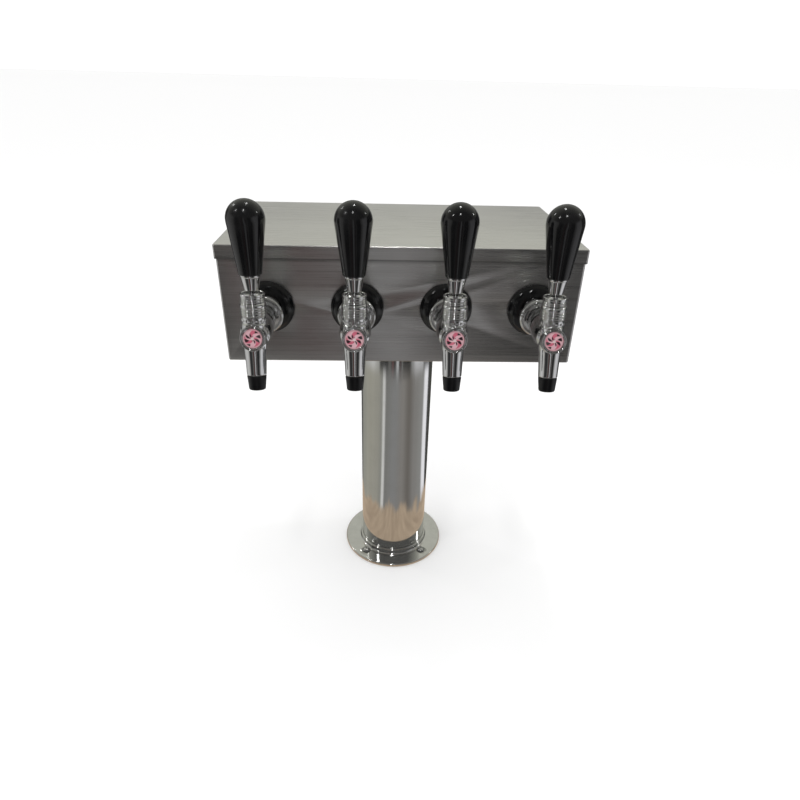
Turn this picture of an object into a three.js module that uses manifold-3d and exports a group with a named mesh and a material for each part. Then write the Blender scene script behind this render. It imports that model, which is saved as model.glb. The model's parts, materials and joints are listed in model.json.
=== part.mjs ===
// Counter-top beer tower: a stainless steel box on a round column, with four lever faucets.
// Millimetres, +Z up. The faucets point towards -Y, and the origin is at the middle of the
// footprint, on the counter.
import * as THREE from 'three';
import { mergeVertices } from 'three/addons/utils/BufferGeometryUtils.js';
import Module from 'manifold-3d';

const wasm = await Module();
wasm.setup();

// ---------------------------------------------------------------- driving dimensions

const GAP = 0.3; // clearance between neighbouring pieces

const COLUMN_RADIUS = 50.8;
const COLUMN_WALL = 1.5;

const FLANGE_RADIUS = 78;
const FLANGE_THICKNESS = 5;
const NECK_HEIGHT = 14; // top of the neck that the column stands in, above the counter
const NECK_WALL = 2.4;
const FLANGE_SCREW_CIRCLE = 62;
const FLANGE_SCREW_HOLE = 3;

const BOX_WIDTH = 409.4;
const BOX_DEPTH = 236;
const BOX_BOTTOM = 377.2;
const BOX_TOP = 513.8;
const BOX_SHEET = 1.2;
const BOX_CORNER = 3;
const BOX_RIM = 12; // width of the folded rim that the lid rests on
const BOX_PASSAGE = 34; // radius of the hole over the column

const LID_SHEET = 1.1;
const LID_SKIRT = 16;
const LID_CLEARANCE = 0.4;

const HEAD_RING_THICKNESS = 5.4;
const HEAD_SCREW_COUNT = 3;
const HEAD_SCREW_CIRCLE = 41.5;
const HEAD_SCREW_HOLE = 2.7;

const FAUCET_COUNT = 4;
const FAUCET_SPACING = 101.6;
const SHANK_HEIGHT = 445; // height of the shanks' centre line above the counter
const SHANK_THREAD = 11; // outer radius of the thread that passes through the box wall
const SHANK_SEAT = 14; // outer radius of the thread under the coupling nut
const SHANK_FACE = 24; // where the shank meets the faucet, in front of the box
const SHANK_BORE = 2.4;
const CHAMBER_RADIUS = 11; // inlet chamber that the valve seal moves back into
const CHAMBER_BACK = 15;
const TAIL_END = -64; // the tail behind the thread, which a hose is pushed over
const TAIL_START = -46;
const TAIL_RADIUS = 4.4;
const TAIL_RIDGE = 5.4; // the ridge that holds the hose
const TAIL_RIDGE_LENGTH = 6;
const LOCK_NUT_RADIUS = 18;
const LOCK_NUT_THICKNESS = 8;
const WALL_FLANGE_RADIUS = 29.9;
const WALL_FLANGE_NOSE = 19.5; // radius of the flat that the shank presses on
const WALL_FLANGE_DEPTH = 11.2;
const NUT_RADIUS = 21.2;
const NUT_BACK = 13.6;
const NUT_FRONT = 29.2;
const NUT_LIP = 2; // thickness of the lip that pulls the faucet back
const NUT_LIP_RADIUS = 13.2;
const NUT_NOTCHES = 6;
const NUT_NOTCH_WIDTH = 4.4;
const NUT_NOTCH_DEPTH = 1.9;
const NUT_NOTCH_END = 21.2;

const PIVOT_FORWARD = 75; // lever pivot, in front of the box
const PIVOT_RISE = 33; // lever pivot, above the shank's centre line
const LEVER_LEAN = THREE.MathUtils.degToRad(4);
const BALL_RADIUS = 9.5;
const FINGER_LENGTH = 25;
const FINGER_TIP = 3;
const STEM_RADIUS = 5.4;
const STUD_RADIUS = 4.5;
const STUD_TOP = 47;
const FERRULE_BOTTOM = 10.2;
const FERRULE_TOP = 27.1;
const FERRULE_FOOT_RADIUS = 6.9;
const FERRULE_TOP_RADIUS = 10.2;
const HANDLE_BOTTOM = 27.4;
const HANDLE_FOOT_RADIUS = 11.6;
const HANDLE_HEAD_HEIGHT = 79;
const HANDLE_HEAD_RADIUS = 18.7;

const BONNET_BOTTOM = -14;
const BONNET_WAIST = 0;
const BONNET_TOP = 8.4;
const BONNET_RADIUS = 13.3;
const COLLAR_RADIUS = 12.4;
const MOUTH_RADIUS = 11.3;
const MOUTH_FLOOR = 5; // the mouth is a recess above the ball, down to this height
const BONNET_THREAD = 11.3; // radius of the neck's thread inside the bonnet
const NECK_RADIUS = 12.4;

const SPOUT_FORWARD = 76.2; // top of the spout's centre line, in front of the box
const SPOUT_RISE = 18; // and above the shank's centre line
const SPOUT_LEAN = THREE.MathUtils.degToRad(15);
const SPOUT_LENGTH = 60.7;
const SPOUT_RADIUS = 13;
const SPOUT_END_RADIUS = 10;
const SPIGOT_RADIUS = 7.8; // the spout's end, inside the tip
const SPIGOT_LENGTH = 6;
const SPOUT_BORE = 6.3;
const TIP_LENGTH = 15.3;
const TIP_END_RADIUS = 8.8;

const VALVE_BORE = 8.5;
const VALVE_SEAT = 38; // shoulder that the seal closes on, in front of the box
const VALVE_BORE_END = 86;
const GUIDE_RADIUS = 8.1;
const GUIDE_LENGTH = 10.5;
const GUIDE_SLOT_WIDTH = 2 * FINGER_TIP + 0.7;
const BODY_SLOT_WIDTH = 7.2; // slot in the body that the finger's tip swings in
const BODY_SLOT_BACK = -63.4;

const BADGE_RADIUS = 12.7;
const BADGE_THICKNESS = 2.6;
const BADGE_FORWARD = 14; // front of the badge, in front of the spout's centre line
const BADGE_DROP = 21.4; // along the spout's centre line

const FINE = 36; // sides of the column and the base
const ROUND = 12; // sides of the faucet pieces
const SMALL = 8; // sides of screws and other small rounds

// ---------------------------------------------------------------- materials

function finish(color, roughness, metalness) {
  return new THREE.MeshStandardMaterial({ color, roughness, metalness });
}

const brushedSteel = finish(0x8f8a84, 0.38, 1);
const polishedSteel = finish(0xb9b7b2, 0.16, 1);
const chrome = finish(0xc9c9cb, 0.08, 1);
const plainSteel = finish(0x9a9a9c, 0.3, 1);
const glossBlack = finish(0x0a0a0b, 0.12, 0);
const satinBlack = finish(0x141416, 0.42, 0);
const badgeEnamel = finish(0xc2506a, 0.2, 0);

// ---------------------------------------------------------------- solids

// A closed geometry as a solid that can be joined and cut.
function solid(geometry) {
  const bare = geometry.clone();
  bare.deleteAttribute('normal');
  bare.deleteAttribute('uv');
  const merged = mergeVertices(bare, 1e-4);
  const corners = merged.getIndex().array;
  const triVerts = [];
  for (let i = 0; i < corners.length; i += 3) {
    const [a, b, c] = corners.slice(i, i + 3);
    if (a !== b && b !== c && c !== a) triVerts.push(a, b, c);
  }
  return new wasm.Manifold(new wasm.Mesh({
    numProp: 3,
    vertProperties: Float32Array.from(merged.getAttribute('position').array),
    triVerts: Uint32Array.from(triVerts),
  }));
}

// A solid as a named mesh.
function piece(name, body, material) {
  const { vertProperties, triVerts } = body.getMesh();
  const geometry = new THREE.BufferGeometry();
  geometry.setAttribute('position', new THREE.BufferAttribute(vertProperties, 3));
  geometry.setIndex(new THREE.BufferAttribute(triVerts, 1));
  geometry.computeVertexNormals();
  const mesh = new THREE.Mesh(geometry, material);
  mesh.name = name;
  return mesh;
}

// A profile of [radius, height] points turned about +Z, walked up the outside of the piece.
// A profile that doesn't start on the axis closes on itself, as a ring.
function turned(profile, sides, placement = new THREE.Matrix4()) {
  const points = profile.map(([radius, height]) => new THREE.Vector2(radius, height));
  if (profile[0][0] > 0) points.push(points[0].clone());
  const geometry = new THREE.LatheGeometry(points, sides);
  geometry.rotateX(Math.PI / 2);
  geometry.applyMatrix4(placement);
  return solid(geometry);
}

function cylinder(radius, bottom, top, sides, placement) {
  return turned([[0, bottom], [radius, bottom], [radius, top], [0, top]], sides, placement);
}

function ring(inner, outer, bottom, top, sides) {
  return turned([[inner, bottom], [outer, bottom], [outer, top], [inner, top]], sides);
}

function block(x, y, z) {
  const geometry = new THREE.BoxGeometry(x[1] - x[0], y[1] - y[0], z[1] - z[0]);
  geometry.translate((x[0] + x[1]) / 2, (y[0] + y[1]) / 2, (z[0] + z[1]) / 2);
  return solid(geometry);
}

// An upright slab with rounded corners, centred on the column.
function slab(width, depth, corner, bottom, top) {
  const [x, y] = [width / 2, depth / 2];
  const outline = new THREE.Shape();
  outline.absarc(x - corner, y - corner, corner, 0, Math.PI / 2);
  outline.absarc(-x + corner, y - corner, corner, Math.PI / 2, Math.PI);
  outline.absarc(-x + corner, -y + corner, corner, Math.PI, 1.5 * Math.PI);
  outline.absarc(x - corner, -y + corner, corner, 1.5 * Math.PI, 2 * Math.PI);
  const options = { depth: top - bottom, bevelEnabled: false, curveSegments: 3 };
  const geometry = new THREE.ExtrudeGeometry(outline, options);
  geometry.translate(0, 0, bottom);
  return solid(geometry);
}

function onCircle(radius, turn) {
  return new THREE.Matrix4().makeTranslation(
    radius * Math.cos(turn), radius * Math.sin(turn), 0);
}

// ---------------------------------------------------------------- tower

const flangeScrewTurns = [1, 3, 5, 7].map((eighth) => eighth * Math.PI / 4);
const headScrewTurns = Array.from(
  { length: HEAD_SCREW_COUNT }, (_, i) => Math.PI / 2 + i * 2 * Math.PI / HEAD_SCREW_COUNT);
const faucetPlaces = Array.from(
  { length: FAUCET_COUNT }, (_, i) => (i - (FAUCET_COUNT - 1) / 2) * FAUCET_SPACING);

function baseFlange() {
  const bore = COLUMN_RADIUS + GAP;
  const neck = bore + NECK_WALL;
  const edge = 1.5;
  let flange = turned([
    [bore, 0],
    [FLANGE_RADIUS, 0],
    [FLANGE_RADIUS, FLANGE_THICKNESS - edge],
    [FLANGE_RADIUS - edge, FLANGE_THICKNESS],
    [neck + edge, FLANGE_THICKNESS],
    [neck, FLANGE_THICKNESS + edge],
    [neck, NECK_HEIGHT],
    [bore, NECK_HEIGHT],
  ], FINE);
  for (const turn of flangeScrewTurns) {
    const place = onCircle(FLANGE_SCREW_CIRCLE, turn);
    const hole = cylinder(FLANGE_SCREW_HOLE, -1, FLANGE_THICKNESS + 1, SMALL, place);
    flange = flange.subtract(hole);
  }
  return flange;
}

function screw(headRadius, headHeight, shaftRadius, shaftLength) {
  return turned([
    [0, -shaftLength],
    [shaftRadius, -shaftLength],
    [shaftRadius, 0],
    [headRadius, 0],
    [headRadius, headHeight * 0.4],
    [headRadius * 0.6, headHeight],
    [0, headHeight],
  ], SMALL);
}

function columnTube() {
  const inner = COLUMN_RADIUS - COLUMN_WALL;
  return ring(inner, COLUMN_RADIUS, GAP, BOX_BOTTOM - GAP, FINE);
}

function headRing() {
  const outer = COLUMN_RADIUS - COLUMN_WALL - GAP;
  const top = BOX_BOTTOM - GAP;
  let plate = ring(BOX_PASSAGE, outer, top - HEAD_RING_THICKNESS, top, FINE);
  for (const turn of headScrewTurns) {
    const place = onCircle(HEAD_SCREW_CIRCLE, turn);
    plate = plate.subtract(cylinder(HEAD_SCREW_HOLE, top - 10, top + 1, SMALL, place));
  }
  return plate;
}

function boxBody() {
  const inside = 2 * BOX_SHEET;
  const floor = BOX_BOTTOM + BOX_SHEET;
  const underRim = BOX_TOP - BOX_SHEET;
  let box = slab(BOX_WIDTH, BOX_DEPTH, BOX_CORNER, BOX_BOTTOM, BOX_TOP);
  box = box.subtract(slab(
    BOX_WIDTH - inside, BOX_DEPTH - inside, BOX_CORNER - BOX_SHEET, floor, underRim));
  box = box.subtract(slab(
    BOX_WIDTH - 2 * BOX_RIM, BOX_DEPTH - 2 * BOX_RIM, BOX_CORNER, underRim - 1, BOX_TOP + 1));
  box = box.subtract(cylinder(BOX_PASSAGE, BOX_BOTTOM - 1, floor + 1, FINE));
  for (const turn of headScrewTurns) {
    const place = onCircle(HEAD_SCREW_CIRCLE, turn);
    const hole = cylinder(HEAD_SCREW_HOLE, BOX_BOTTOM - 1, floor + 1, SMALL, place);
    box = box.subtract(hole);
  }
  for (const x of faucetPlaces) {
    const place = new THREE.Matrix4().makeTranslation(x, -BOX_DEPTH / 2, SHANK_HEIGHT);
    place.multiply(forward);
    box = box.subtract(cylinder(SHANK_THREAD + GAP, -5, 5, ROUND, place));
  }
  return box;
}

function boxLid() {
  const grow = 2 * (LID_CLEARANCE + LID_SHEET);
  const top = BOX_TOP + GAP + LID_SHEET;
  const lid = slab(BOX_WIDTH + grow, BOX_DEPTH + grow, BOX_CORNER, top - LID_SKIRT, top);
  const hollow = slab(
    BOX_WIDTH + 2 * LID_CLEARANCE, BOX_DEPTH + 2 * LID_CLEARANCE, BOX_CORNER - LID_SHEET,
    top - LID_SKIRT - 1, top - LID_SHEET);
  return lid.subtract(hollow);
}

// ---------------------------------------------------------------- faucet
// A faucet's frame starts where its shank's centre line leaves the front of the box.
// Its pieces lie on three lines: the bore line runs forward, the lever line stands on the
// lever's pivot, and the spout line hangs below the bonnet.

const forward = new THREE.Matrix4().makeRotationX(Math.PI / 2);
const leverLine = new THREE.Matrix4()
  .makeTranslation(0, -PIVOT_FORWARD, PIVOT_RISE)
  .multiply(new THREE.Matrix4().makeRotationX(-LEVER_LEAN));
const spoutLine = new THREE.Matrix4()
  .makeTranslation(0, -SPOUT_FORWARD, SPOUT_RISE)
  .multiply(new THREE.Matrix4().makeRotationX(-SPOUT_LEAN));
const badgeLine = spoutLine.clone()
  .multiply(new THREE.Matrix4().makeTranslation(0, 0, -BADGE_DROP))
  .multiply(forward);

// Where the finger's tip rests, in front of the box.
const tipForward = PIVOT_FORWARD + FINGER_LENGTH * Math.sin(LEVER_LEAN);

function wallFlange() {
  return turned([
    [SHANK_THREAD + GAP, GAP],
    [WALL_FLANGE_RADIUS, GAP],
    [WALL_FLANGE_RADIUS, 2.2],
    [WALL_FLANGE_RADIUS - 1.7, 5.6],
    [WALL_FLANGE_NOSE + 5.1, 9],
    [WALL_FLANGE_NOSE, WALL_FLANGE_DEPTH],
    [SHANK_THREAD + GAP, WALL_FLANGE_DEPTH],
  ], ROUND);
}

// A threaded tube through the wall: a hose tail behind, the inlet chamber in front, and a
// shoulder between them that holds the wall flange on.
function shank() {
  const shoulderBack = WALL_FLANGE_DEPTH + GAP;
  const shoulderRadius = SHANK_SEAT + 2;
  return turned([
    [SHANK_BORE, TAIL_END],
    [TAIL_RADIUS - 0.2, TAIL_END],
    [TAIL_RIDGE, TAIL_END + TAIL_RIDGE_LENGTH],
    [TAIL_RADIUS, TAIL_END + TAIL_RIDGE_LENGTH],
    [TAIL_RADIUS, TAIL_START],
    [SHANK_THREAD, TAIL_START],
    [SHANK_THREAD, shoulderBack],
    [shoulderRadius, shoulderBack],
    [shoulderRadius, NUT_BACK - GAP],
    [SHANK_SEAT, NUT_BACK - GAP],
    [SHANK_SEAT, SHANK_FACE],
    [CHAMBER_RADIUS, SHANK_FACE],
    [CHAMBER_RADIUS, CHAMBER_BACK],
    [SHANK_BORE, CHAMBER_BACK],
  ], ROUND);
}

function lockNut() {
  const front = -BOX_SHEET - GAP;
  const back = front - LOCK_NUT_THICKNESS;
  const hexagon = cylinder(LOCK_NUT_RADIUS, back, front, 6);
  return hexagon.subtract(cylinder(SHANK_THREAD + GAP, back - 1, front + 1, ROUND));
}

function couplingNut() {
  const inner = SHANK_SEAT + GAP;
  const waist = NUT_RADIUS - 1.2;
  let nut = turned([
    [inner, NUT_BACK],
    [waist, NUT_BACK],
    [waist, NUT_FRONT - 5],
    [NUT_RADIUS, NUT_FRONT - 4],
    [NUT_RADIUS, NUT_FRONT - 1],
    [NUT_RADIUS - 1, NUT_FRONT],
    [NUT_LIP_RADIUS, NUT_FRONT],
    [NUT_LIP_RADIUS, NUT_FRONT - NUT_LIP],
    [inner, NUT_FRONT - NUT_LIP],
  ], ROUND);
  const half = NUT_NOTCH_WIDTH / 2;
  for (let i = 0; i < NUT_NOTCHES; i += 1) {
    const notch = block(
      [waist - NUT_NOTCH_DEPTH, NUT_RADIUS + 1], [-half, half], [NUT_BACK - 1, NUT_NOTCH_END]);
    nut = nut.subtract(notch.rotate([0, 0, i * 360 / NUT_NOTCHES]));
  }
  return nut;
}

// One casting: a barrel, a neck under the lever, a spout and a boss for the badge, with the
// passages for the valve, the lever's finger and the beer cut out of it.
function faucetBody() {
  const tail = SHANK_FACE + GAP;
  const lip = NUT_FRONT - NUT_LIP - GAP;
  const barrel = turned([
    [0, tail],
    [SHANK_SEAT - 0.1, tail],
    [SHANK_SEAT - 0.1, lip],
    [NUT_LIP_RADIUS - GAP, lip],
    [NUT_LIP_RADIUS - GAP, NUT_FRONT + 2],
    [14.4, 38],
    [15.6, 50],
    [16.6, 62],
    [16.4, 74],
    [15, 82],
    [11, 89],
    [0, 91],
  ], ROUND, forward);
  const neck = cylinder(NECK_RADIUS, -PIVOT_RISE, BONNET_BOTTOM - GAP, ROUND, leverLine);
  const thread = cylinder(BONNET_THREAD, BONNET_BOTTOM - 5, -7.5, ROUND, leverLine);
  const spigotEnd = -SPOUT_LENGTH - SPIGOT_LENGTH;
  const spout = turned([
    [0, spigotEnd],
    [SPIGOT_RADIUS, spigotEnd],
    [SPIGOT_RADIUS, -SPOUT_LENGTH],
    [SPOUT_END_RADIUS, -SPOUT_LENGTH],
    [SPOUT_END_RADIUS + 1.4, -34],
    [SPOUT_RADIUS, -24],
    [SPOUT_RADIUS, -10],
    [0, -10],
  ], ROUND, spoutLine);
  const badgeSeat = BADGE_FORWARD - BADGE_THICKNESS - GAP;
  const boss = cylinder(BADGE_RADIUS - 0.3, 0, badgeSeat, ROUND, badgeLine);
  const spotFace = cylinder(BADGE_RADIUS + 0.5, badgeSeat, badgeSeat + 10, ROUND, badgeLine);
  const outside = barrel.add(neck).add(thread).add(spout).add(boss).subtract(spotFace);

  const valve = cylinder(VALVE_BORE, tail - 1, VALVE_BORE_END, ROUND, forward);
  const chamber = cylinder(CHAMBER_RADIUS, tail - 1, VALVE_SEAT, ROUND, forward);
  const fingerWay = turned([
    [0, -PIVOT_RISE],
    [10, -PIVOT_RISE],
    [10, -17],
    [6.5, -7],
    [0, -7],
  ], ROUND, leverLine);
  const half = BODY_SLOT_WIDTH / 2;
  const slot = block([-half, half], [-PIVOT_FORWARD - 5, BODY_SLOT_BACK], [0, 14]);
  const outlet = cylinder(SPOUT_BORE, spigotEnd - 1, -16, ROUND, spoutLine);
  return outside.subtract(valve).subtract(chamber).subtract(fingerWay).subtract(slot)
    .subtract(outlet);
}

// The ring nut that holds the ball down, with the recessed mouth that the stem leans in.
function bonnet() {
  const thread = BONNET_THREAD + GAP;
  const socket = BALL_RADIUS + 0.4;
  return turned([
    [thread, BONNET_BOTTOM],
    [BONNET_RADIUS - 0.6, BONNET_BOTTOM],
    [BONNET_RADIUS, BONNET_BOTTOM + 1],
    [BONNET_RADIUS, BONNET_WAIST - 3],
    [COLLAR_RADIUS - 0.8, BONNET_WAIST],
    [COLLAR_RADIUS, BONNET_WAIST + 1],
    [COLLAR_RADIUS, BONNET_TOP - 1.2],
    [COLLAR_RADIUS - 0.4, BONNET_TOP],
    [MOUTH_RADIUS + 0.3, BONNET_TOP],
    [MOUTH_RADIUS, BONNET_TOP - 0.6],
    [MOUTH_RADIUS, MOUTH_FLOOR],
    [8.75, MOUTH_FLOOR - 0.3],
    [socket, 1.5],
    [socket, -5],
    [thread, -7],
  ], ROUND);
}

function spoutTip() {
  const socket = SPIGOT_RADIUS + GAP;
  const top = -SPOUT_LENGTH - GAP;
  const socketEnd = top - SPIGOT_LENGTH;
  const end = -SPOUT_LENGTH - TIP_LENGTH;
  return turned([
    [SPOUT_BORE, end],
    [TIP_END_RADIUS - 1.6, end],
    [TIP_END_RADIUS, end + 1.8],
    [SPOUT_END_RADIUS, top],
    [socket, top],
    [socket, socketEnd],
    [SPOUT_BORE, socketEnd],
  ], ROUND);
}

function badge() {
  const back = BADGE_FORWARD - BADGE_THICKNESS;
  return turned([
    [0, back],
    [BADGE_RADIUS, back],
    [BADGE_RADIUS, BADGE_FORWARD - 1],
    [BADGE_RADIUS - 1, BADGE_FORWARD],
    [BADGE_RADIUS - 2.4, BADGE_FORWARD],
    [BADGE_RADIUS - 2.8, BADGE_FORWARD - 0.6],
    [0, BADGE_FORWARD - 0.6],
  ], ROUND);
}

// One piece from the tip of the finger, through the ball, to the stud inside the handle.
function lever() {
  const fingerRadius = 2.3;
  const tip = [];
  for (let i = 0; i <= 3; i += 1) {
    const turn = i * Math.PI * 0.24;
    tip.push([FINGER_TIP * Math.sin(turn), -FINGER_LENGTH - FINGER_TIP * Math.cos(turn)]);
  }
  const ball = [];
  for (let i = 0; i <= 6; i += 1) {
    const turn = THREE.MathUtils.lerp(0.1, 0.81, i / 6) * Math.PI;
    ball.push([BALL_RADIUS * Math.sin(turn), -BALL_RADIUS * Math.cos(turn)]);
  }
  return turned([
    ...tip,
    [fingerRadius, -20],
    ...ball,
    [STEM_RADIUS, 8.4],
    [STEM_RADIUS, FERRULE_BOTTOM - GAP],
    [STUD_RADIUS, FERRULE_BOTTOM - GAP],
    [STUD_RADIUS, STUD_TOP],
    [0, STUD_TOP],
  ], ROUND);
}

function ferrule() {
  return turned([
    [STUD_RADIUS + GAP, FERRULE_BOTTOM],
    [FERRULE_FOOT_RADIUS - 0.5, FERRULE_BOTTOM],
    [FERRULE_FOOT_RADIUS, FERRULE_BOTTOM + 0.8],
    [FERRULE_TOP_RADIUS, FERRULE_TOP],
    [STUD_RADIUS + GAP, FERRULE_TOP],
  ], ROUND);
}

// A taper that runs smoothly into a round head, with a blind hole for the stud.
function handle() {
  const points = [
    [STUD_RADIUS + GAP, HANDLE_BOTTOM],
    [HANDLE_FOOT_RADIUS - 0.8, HANDLE_BOTTOM],
    [HANDLE_FOOT_RADIUS, HANDLE_BOTTOM + 1],
  ];
  const steps = 6;
  for (let i = 0; i <= steps; i += 1) {
    const turn = THREE.MathUtils.lerp(-0.15, Math.PI / 2, i / steps);
    const radius = i < steps ? HANDLE_HEAD_RADIUS * Math.cos(turn) : 0;
    points.push([radius, HANDLE_HEAD_HEIGHT + HANDLE_HEAD_RADIUS * Math.sin(turn)]);
  }
  points.push([0, STUD_TOP + 1]);
  points.push([STUD_RADIUS + GAP, STUD_TOP + 1]);
  return turned(points, ROUND);
}

// The valve shaft: the seal at its tail closes the inlet, and the finger moves its slotted guide.
function plunger() {
  const guideBack = tipForward - GUIDE_LENGTH / 2;
  const guideFront = tipForward + GUIDE_LENGTH / 2;
  const sealFront = VALVE_SEAT - GAP;
  const sealBack = sealFront - 4;
  const backRadius = 6;
  const shaftRadius = 3;
  const shaft = turned([
    [0, sealBack - 4.5],
    [backRadius, sealBack - 4.5],
    [backRadius, sealBack],
    [CHAMBER_RADIUS - 1, sealBack],
    [CHAMBER_RADIUS - 1, sealFront],
    [shaftRadius, sealFront],
    [shaftRadius, guideBack],
    [GUIDE_RADIUS, guideBack],
    [GUIDE_RADIUS, guideFront],
    [0, guideFront],
  ], ROUND);
  const clear = 20; // well past the guide
  const half = GUIDE_SLOT_WIDTH / 2;
  const slot = block([-clear, clear], [4.4, clear], [tipForward - half, tipForward + half]);
  const lengthwise = [guideBack - 1, guideFront + 1];
  const nearSide = block([6, clear], [-clear, clear], lengthwise);
  const farSide = block([-clear, -6], [-clear, clear], lengthwise);
  return shaft.subtract(slot).subtract(nearSide).subtract(farSide);
}

// ---------------------------------------------------------------- assembly

function line(placement) {
  const group = new THREE.Group();
  group.applyMatrix4(placement);
  return group;
}

function faucet(number) {
  const onBore = line(forward);
  onBore.add(
    piece(`wall_flange_${number}`, wallFlange(), glossBlack),
    piece(`shank_${number}`, shank(), plainSteel),
    piece(`lock_nut_${number}`, lockNut(), plainSteel),
    piece(`coupling_nut_${number}`, couplingNut(), chrome),
    piece(`plunger_${number}`, plunger(), plainSteel),
  );
  const onLever = line(leverLine);
  onLever.add(
    piece(`bonnet_${number}`, bonnet(), chrome),
    piece(`lever_${number}`, lever(), chrome),
    piece(`ferrule_${number}`, ferrule(), chrome),
    piece(`handle_${number}`, handle(), glossBlack),
  );
  const onSpout = line(spoutLine);
  onSpout.add(piece(`spout_tip_${number}`, spoutTip(), satinBlack));
  const onBadge = line(badgeLine);
  onBadge.add(piece(`badge_${number}`, badge(), badgeEnamel));

  const group = new THREE.Group();
  group.add(piece(`faucet_body_${number}`, faucetBody(), chrome));
  group.add(onBore, onLever, onSpout, onBadge);
  return group;
}

const tower = new THREE.Group();
tower.add(
  piece('base_flange', baseFlange(), polishedSteel),
  piece('column_tube', columnTube(), polishedSteel),
  piece('column_head_ring', headRing(), plainSteel),
  piece('box_body', boxBody(), brushedSteel),
  piece('box_lid', boxLid(), brushedSteel),
);

flangeScrewTurns.forEach((turn, i) => {
  const body = screw(6, 3.4, FLANGE_SCREW_HOLE - GAP, FLANGE_THICKNESS - GAP);
  const mesh = piece(`flange_screw_${i + 1}`, body, polishedSteel);
  mesh.applyMatrix4(onCircle(FLANGE_SCREW_CIRCLE, turn));
  mesh.position.z = FLANGE_THICKNESS + GAP;
  tower.add(mesh);
});

headScrewTurns.forEach((turn, i) => {
  const body = screw(5, 3, HEAD_SCREW_HOLE - GAP, BOX_SHEET + HEAD_RING_THICKNESS);
  const mesh = piece(`head_screw_${i + 1}`, body, plainSteel);
  mesh.applyMatrix4(onCircle(HEAD_SCREW_CIRCLE, turn));
  mesh.position.z = BOX_BOTTOM + BOX_SHEET + GAP;
  tower.add(mesh);
});

faucetPlaces.forEach((x, i) => {
  const group = faucet(i + 1);
  group.position.set(x, -BOX_DEPTH / 2, SHANK_HEIGHT);
  tower.add(group);
});

// The column stands behind the middle of the footprint, because the faucets reach forward.
const footprint = new THREE.Box3().setFromObject(tower, true);
tower.position.y = -(footprint.min.y + footprint.max.y) / 2;

export default tower;
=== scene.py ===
# %% [markdown]
# # A counter-top beer tower, finished in Blender
# The design of the tower comes from its CAD model: every size, place and joint is already
# settled there. This lesson keeps those, and remakes each visible piece with round curves,
# soft edges and a real finish. Each step first says what the piece is on the real tower,
# how it could be made, and why one way was chosen.

# %% Load the frame
import json
import math

import bpy
from mathutils import Matrix, Vector


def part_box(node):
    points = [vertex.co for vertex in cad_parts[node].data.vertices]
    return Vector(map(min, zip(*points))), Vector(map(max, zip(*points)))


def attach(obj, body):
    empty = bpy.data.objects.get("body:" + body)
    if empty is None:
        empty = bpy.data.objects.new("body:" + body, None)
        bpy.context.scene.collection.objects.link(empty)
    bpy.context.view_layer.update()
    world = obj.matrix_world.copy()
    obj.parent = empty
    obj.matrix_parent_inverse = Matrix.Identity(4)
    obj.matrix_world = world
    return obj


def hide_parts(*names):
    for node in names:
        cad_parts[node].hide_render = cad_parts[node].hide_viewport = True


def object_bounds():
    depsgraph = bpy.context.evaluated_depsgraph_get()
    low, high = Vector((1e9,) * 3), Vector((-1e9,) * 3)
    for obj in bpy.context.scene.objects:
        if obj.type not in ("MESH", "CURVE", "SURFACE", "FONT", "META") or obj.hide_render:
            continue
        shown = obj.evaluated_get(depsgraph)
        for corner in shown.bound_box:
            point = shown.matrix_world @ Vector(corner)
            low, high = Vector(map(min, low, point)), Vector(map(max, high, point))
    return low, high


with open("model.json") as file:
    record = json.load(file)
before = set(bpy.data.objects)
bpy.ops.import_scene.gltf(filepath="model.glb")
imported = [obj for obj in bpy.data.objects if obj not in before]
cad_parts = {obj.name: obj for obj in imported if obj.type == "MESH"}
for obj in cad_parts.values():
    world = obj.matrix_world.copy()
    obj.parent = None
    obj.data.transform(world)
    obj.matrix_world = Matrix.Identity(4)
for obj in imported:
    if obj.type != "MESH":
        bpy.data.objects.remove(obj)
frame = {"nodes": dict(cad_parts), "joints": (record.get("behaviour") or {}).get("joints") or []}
cad_low, cad_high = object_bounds()
MM = 0.001
print("CAD nodes:", len(frame["nodes"]), "size", [round(v, 3) for v in cad_high - cad_low])

# %% [markdown]
# ## Places to measure from
# Nothing is placed by eye. The column's centre line, the front of the box, the height of
# the shanks and the pivots of the levers are all read from the frame, so if the CAD model
# changes and is packed again, the finish follows it.

# %% Places
column_low, column_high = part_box("column_tube")
box_low, box_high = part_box("box_body")
lid_low, lid_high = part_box("box_lid")
base_low, base_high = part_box("base_flange")
nut_low, nut_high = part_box("coupling_nut_1")

column_y = (column_low.y + column_high.y) / 2
face_y = box_low.y
shank_z = (nut_low.z + nut_high.z) / 2
pivots = {j["name"]: Vector(j["pos_m"]) for j in frame["joints"] if j["type"] == "hinge"}
faucets = {name.split("_")[-1]: pivot.x for name, pivot in pivots.items()}
pivot = pivots["lever_pull_1"]
LEVER_LEAN = math.radians(4)
SPOUT_LEAN = math.radians(15)
SPOUT_FORWARD, SPOUT_RISE = 76.2 * MM, 18 * MM
BADGE_DROP = 21.4 * MM

forward = Matrix.Rotation(math.radians(90), 4, "X")
at_column = Matrix.Translation((0, column_y, 0))
bore_line = Matrix.Translation((0, face_y, shank_z)) @ forward
lever_line = Matrix.Translation((0, pivot.y, pivot.z)) @ Matrix.Rotation(-LEVER_LEAN, 4, "X")
spout_line = Matrix.Translation((0, face_y - SPOUT_FORWARD, shank_z + SPOUT_RISE))
spout_line = spout_line @ Matrix.Rotation(-SPOUT_LEAN, 4, "X")
badge_line = spout_line @ Matrix.Translation((0, 0, -BADGE_DROP)) @ forward
print("faucets at", faucets, "face", round(face_y, 4), "shank height", round(shank_z, 4))

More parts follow.
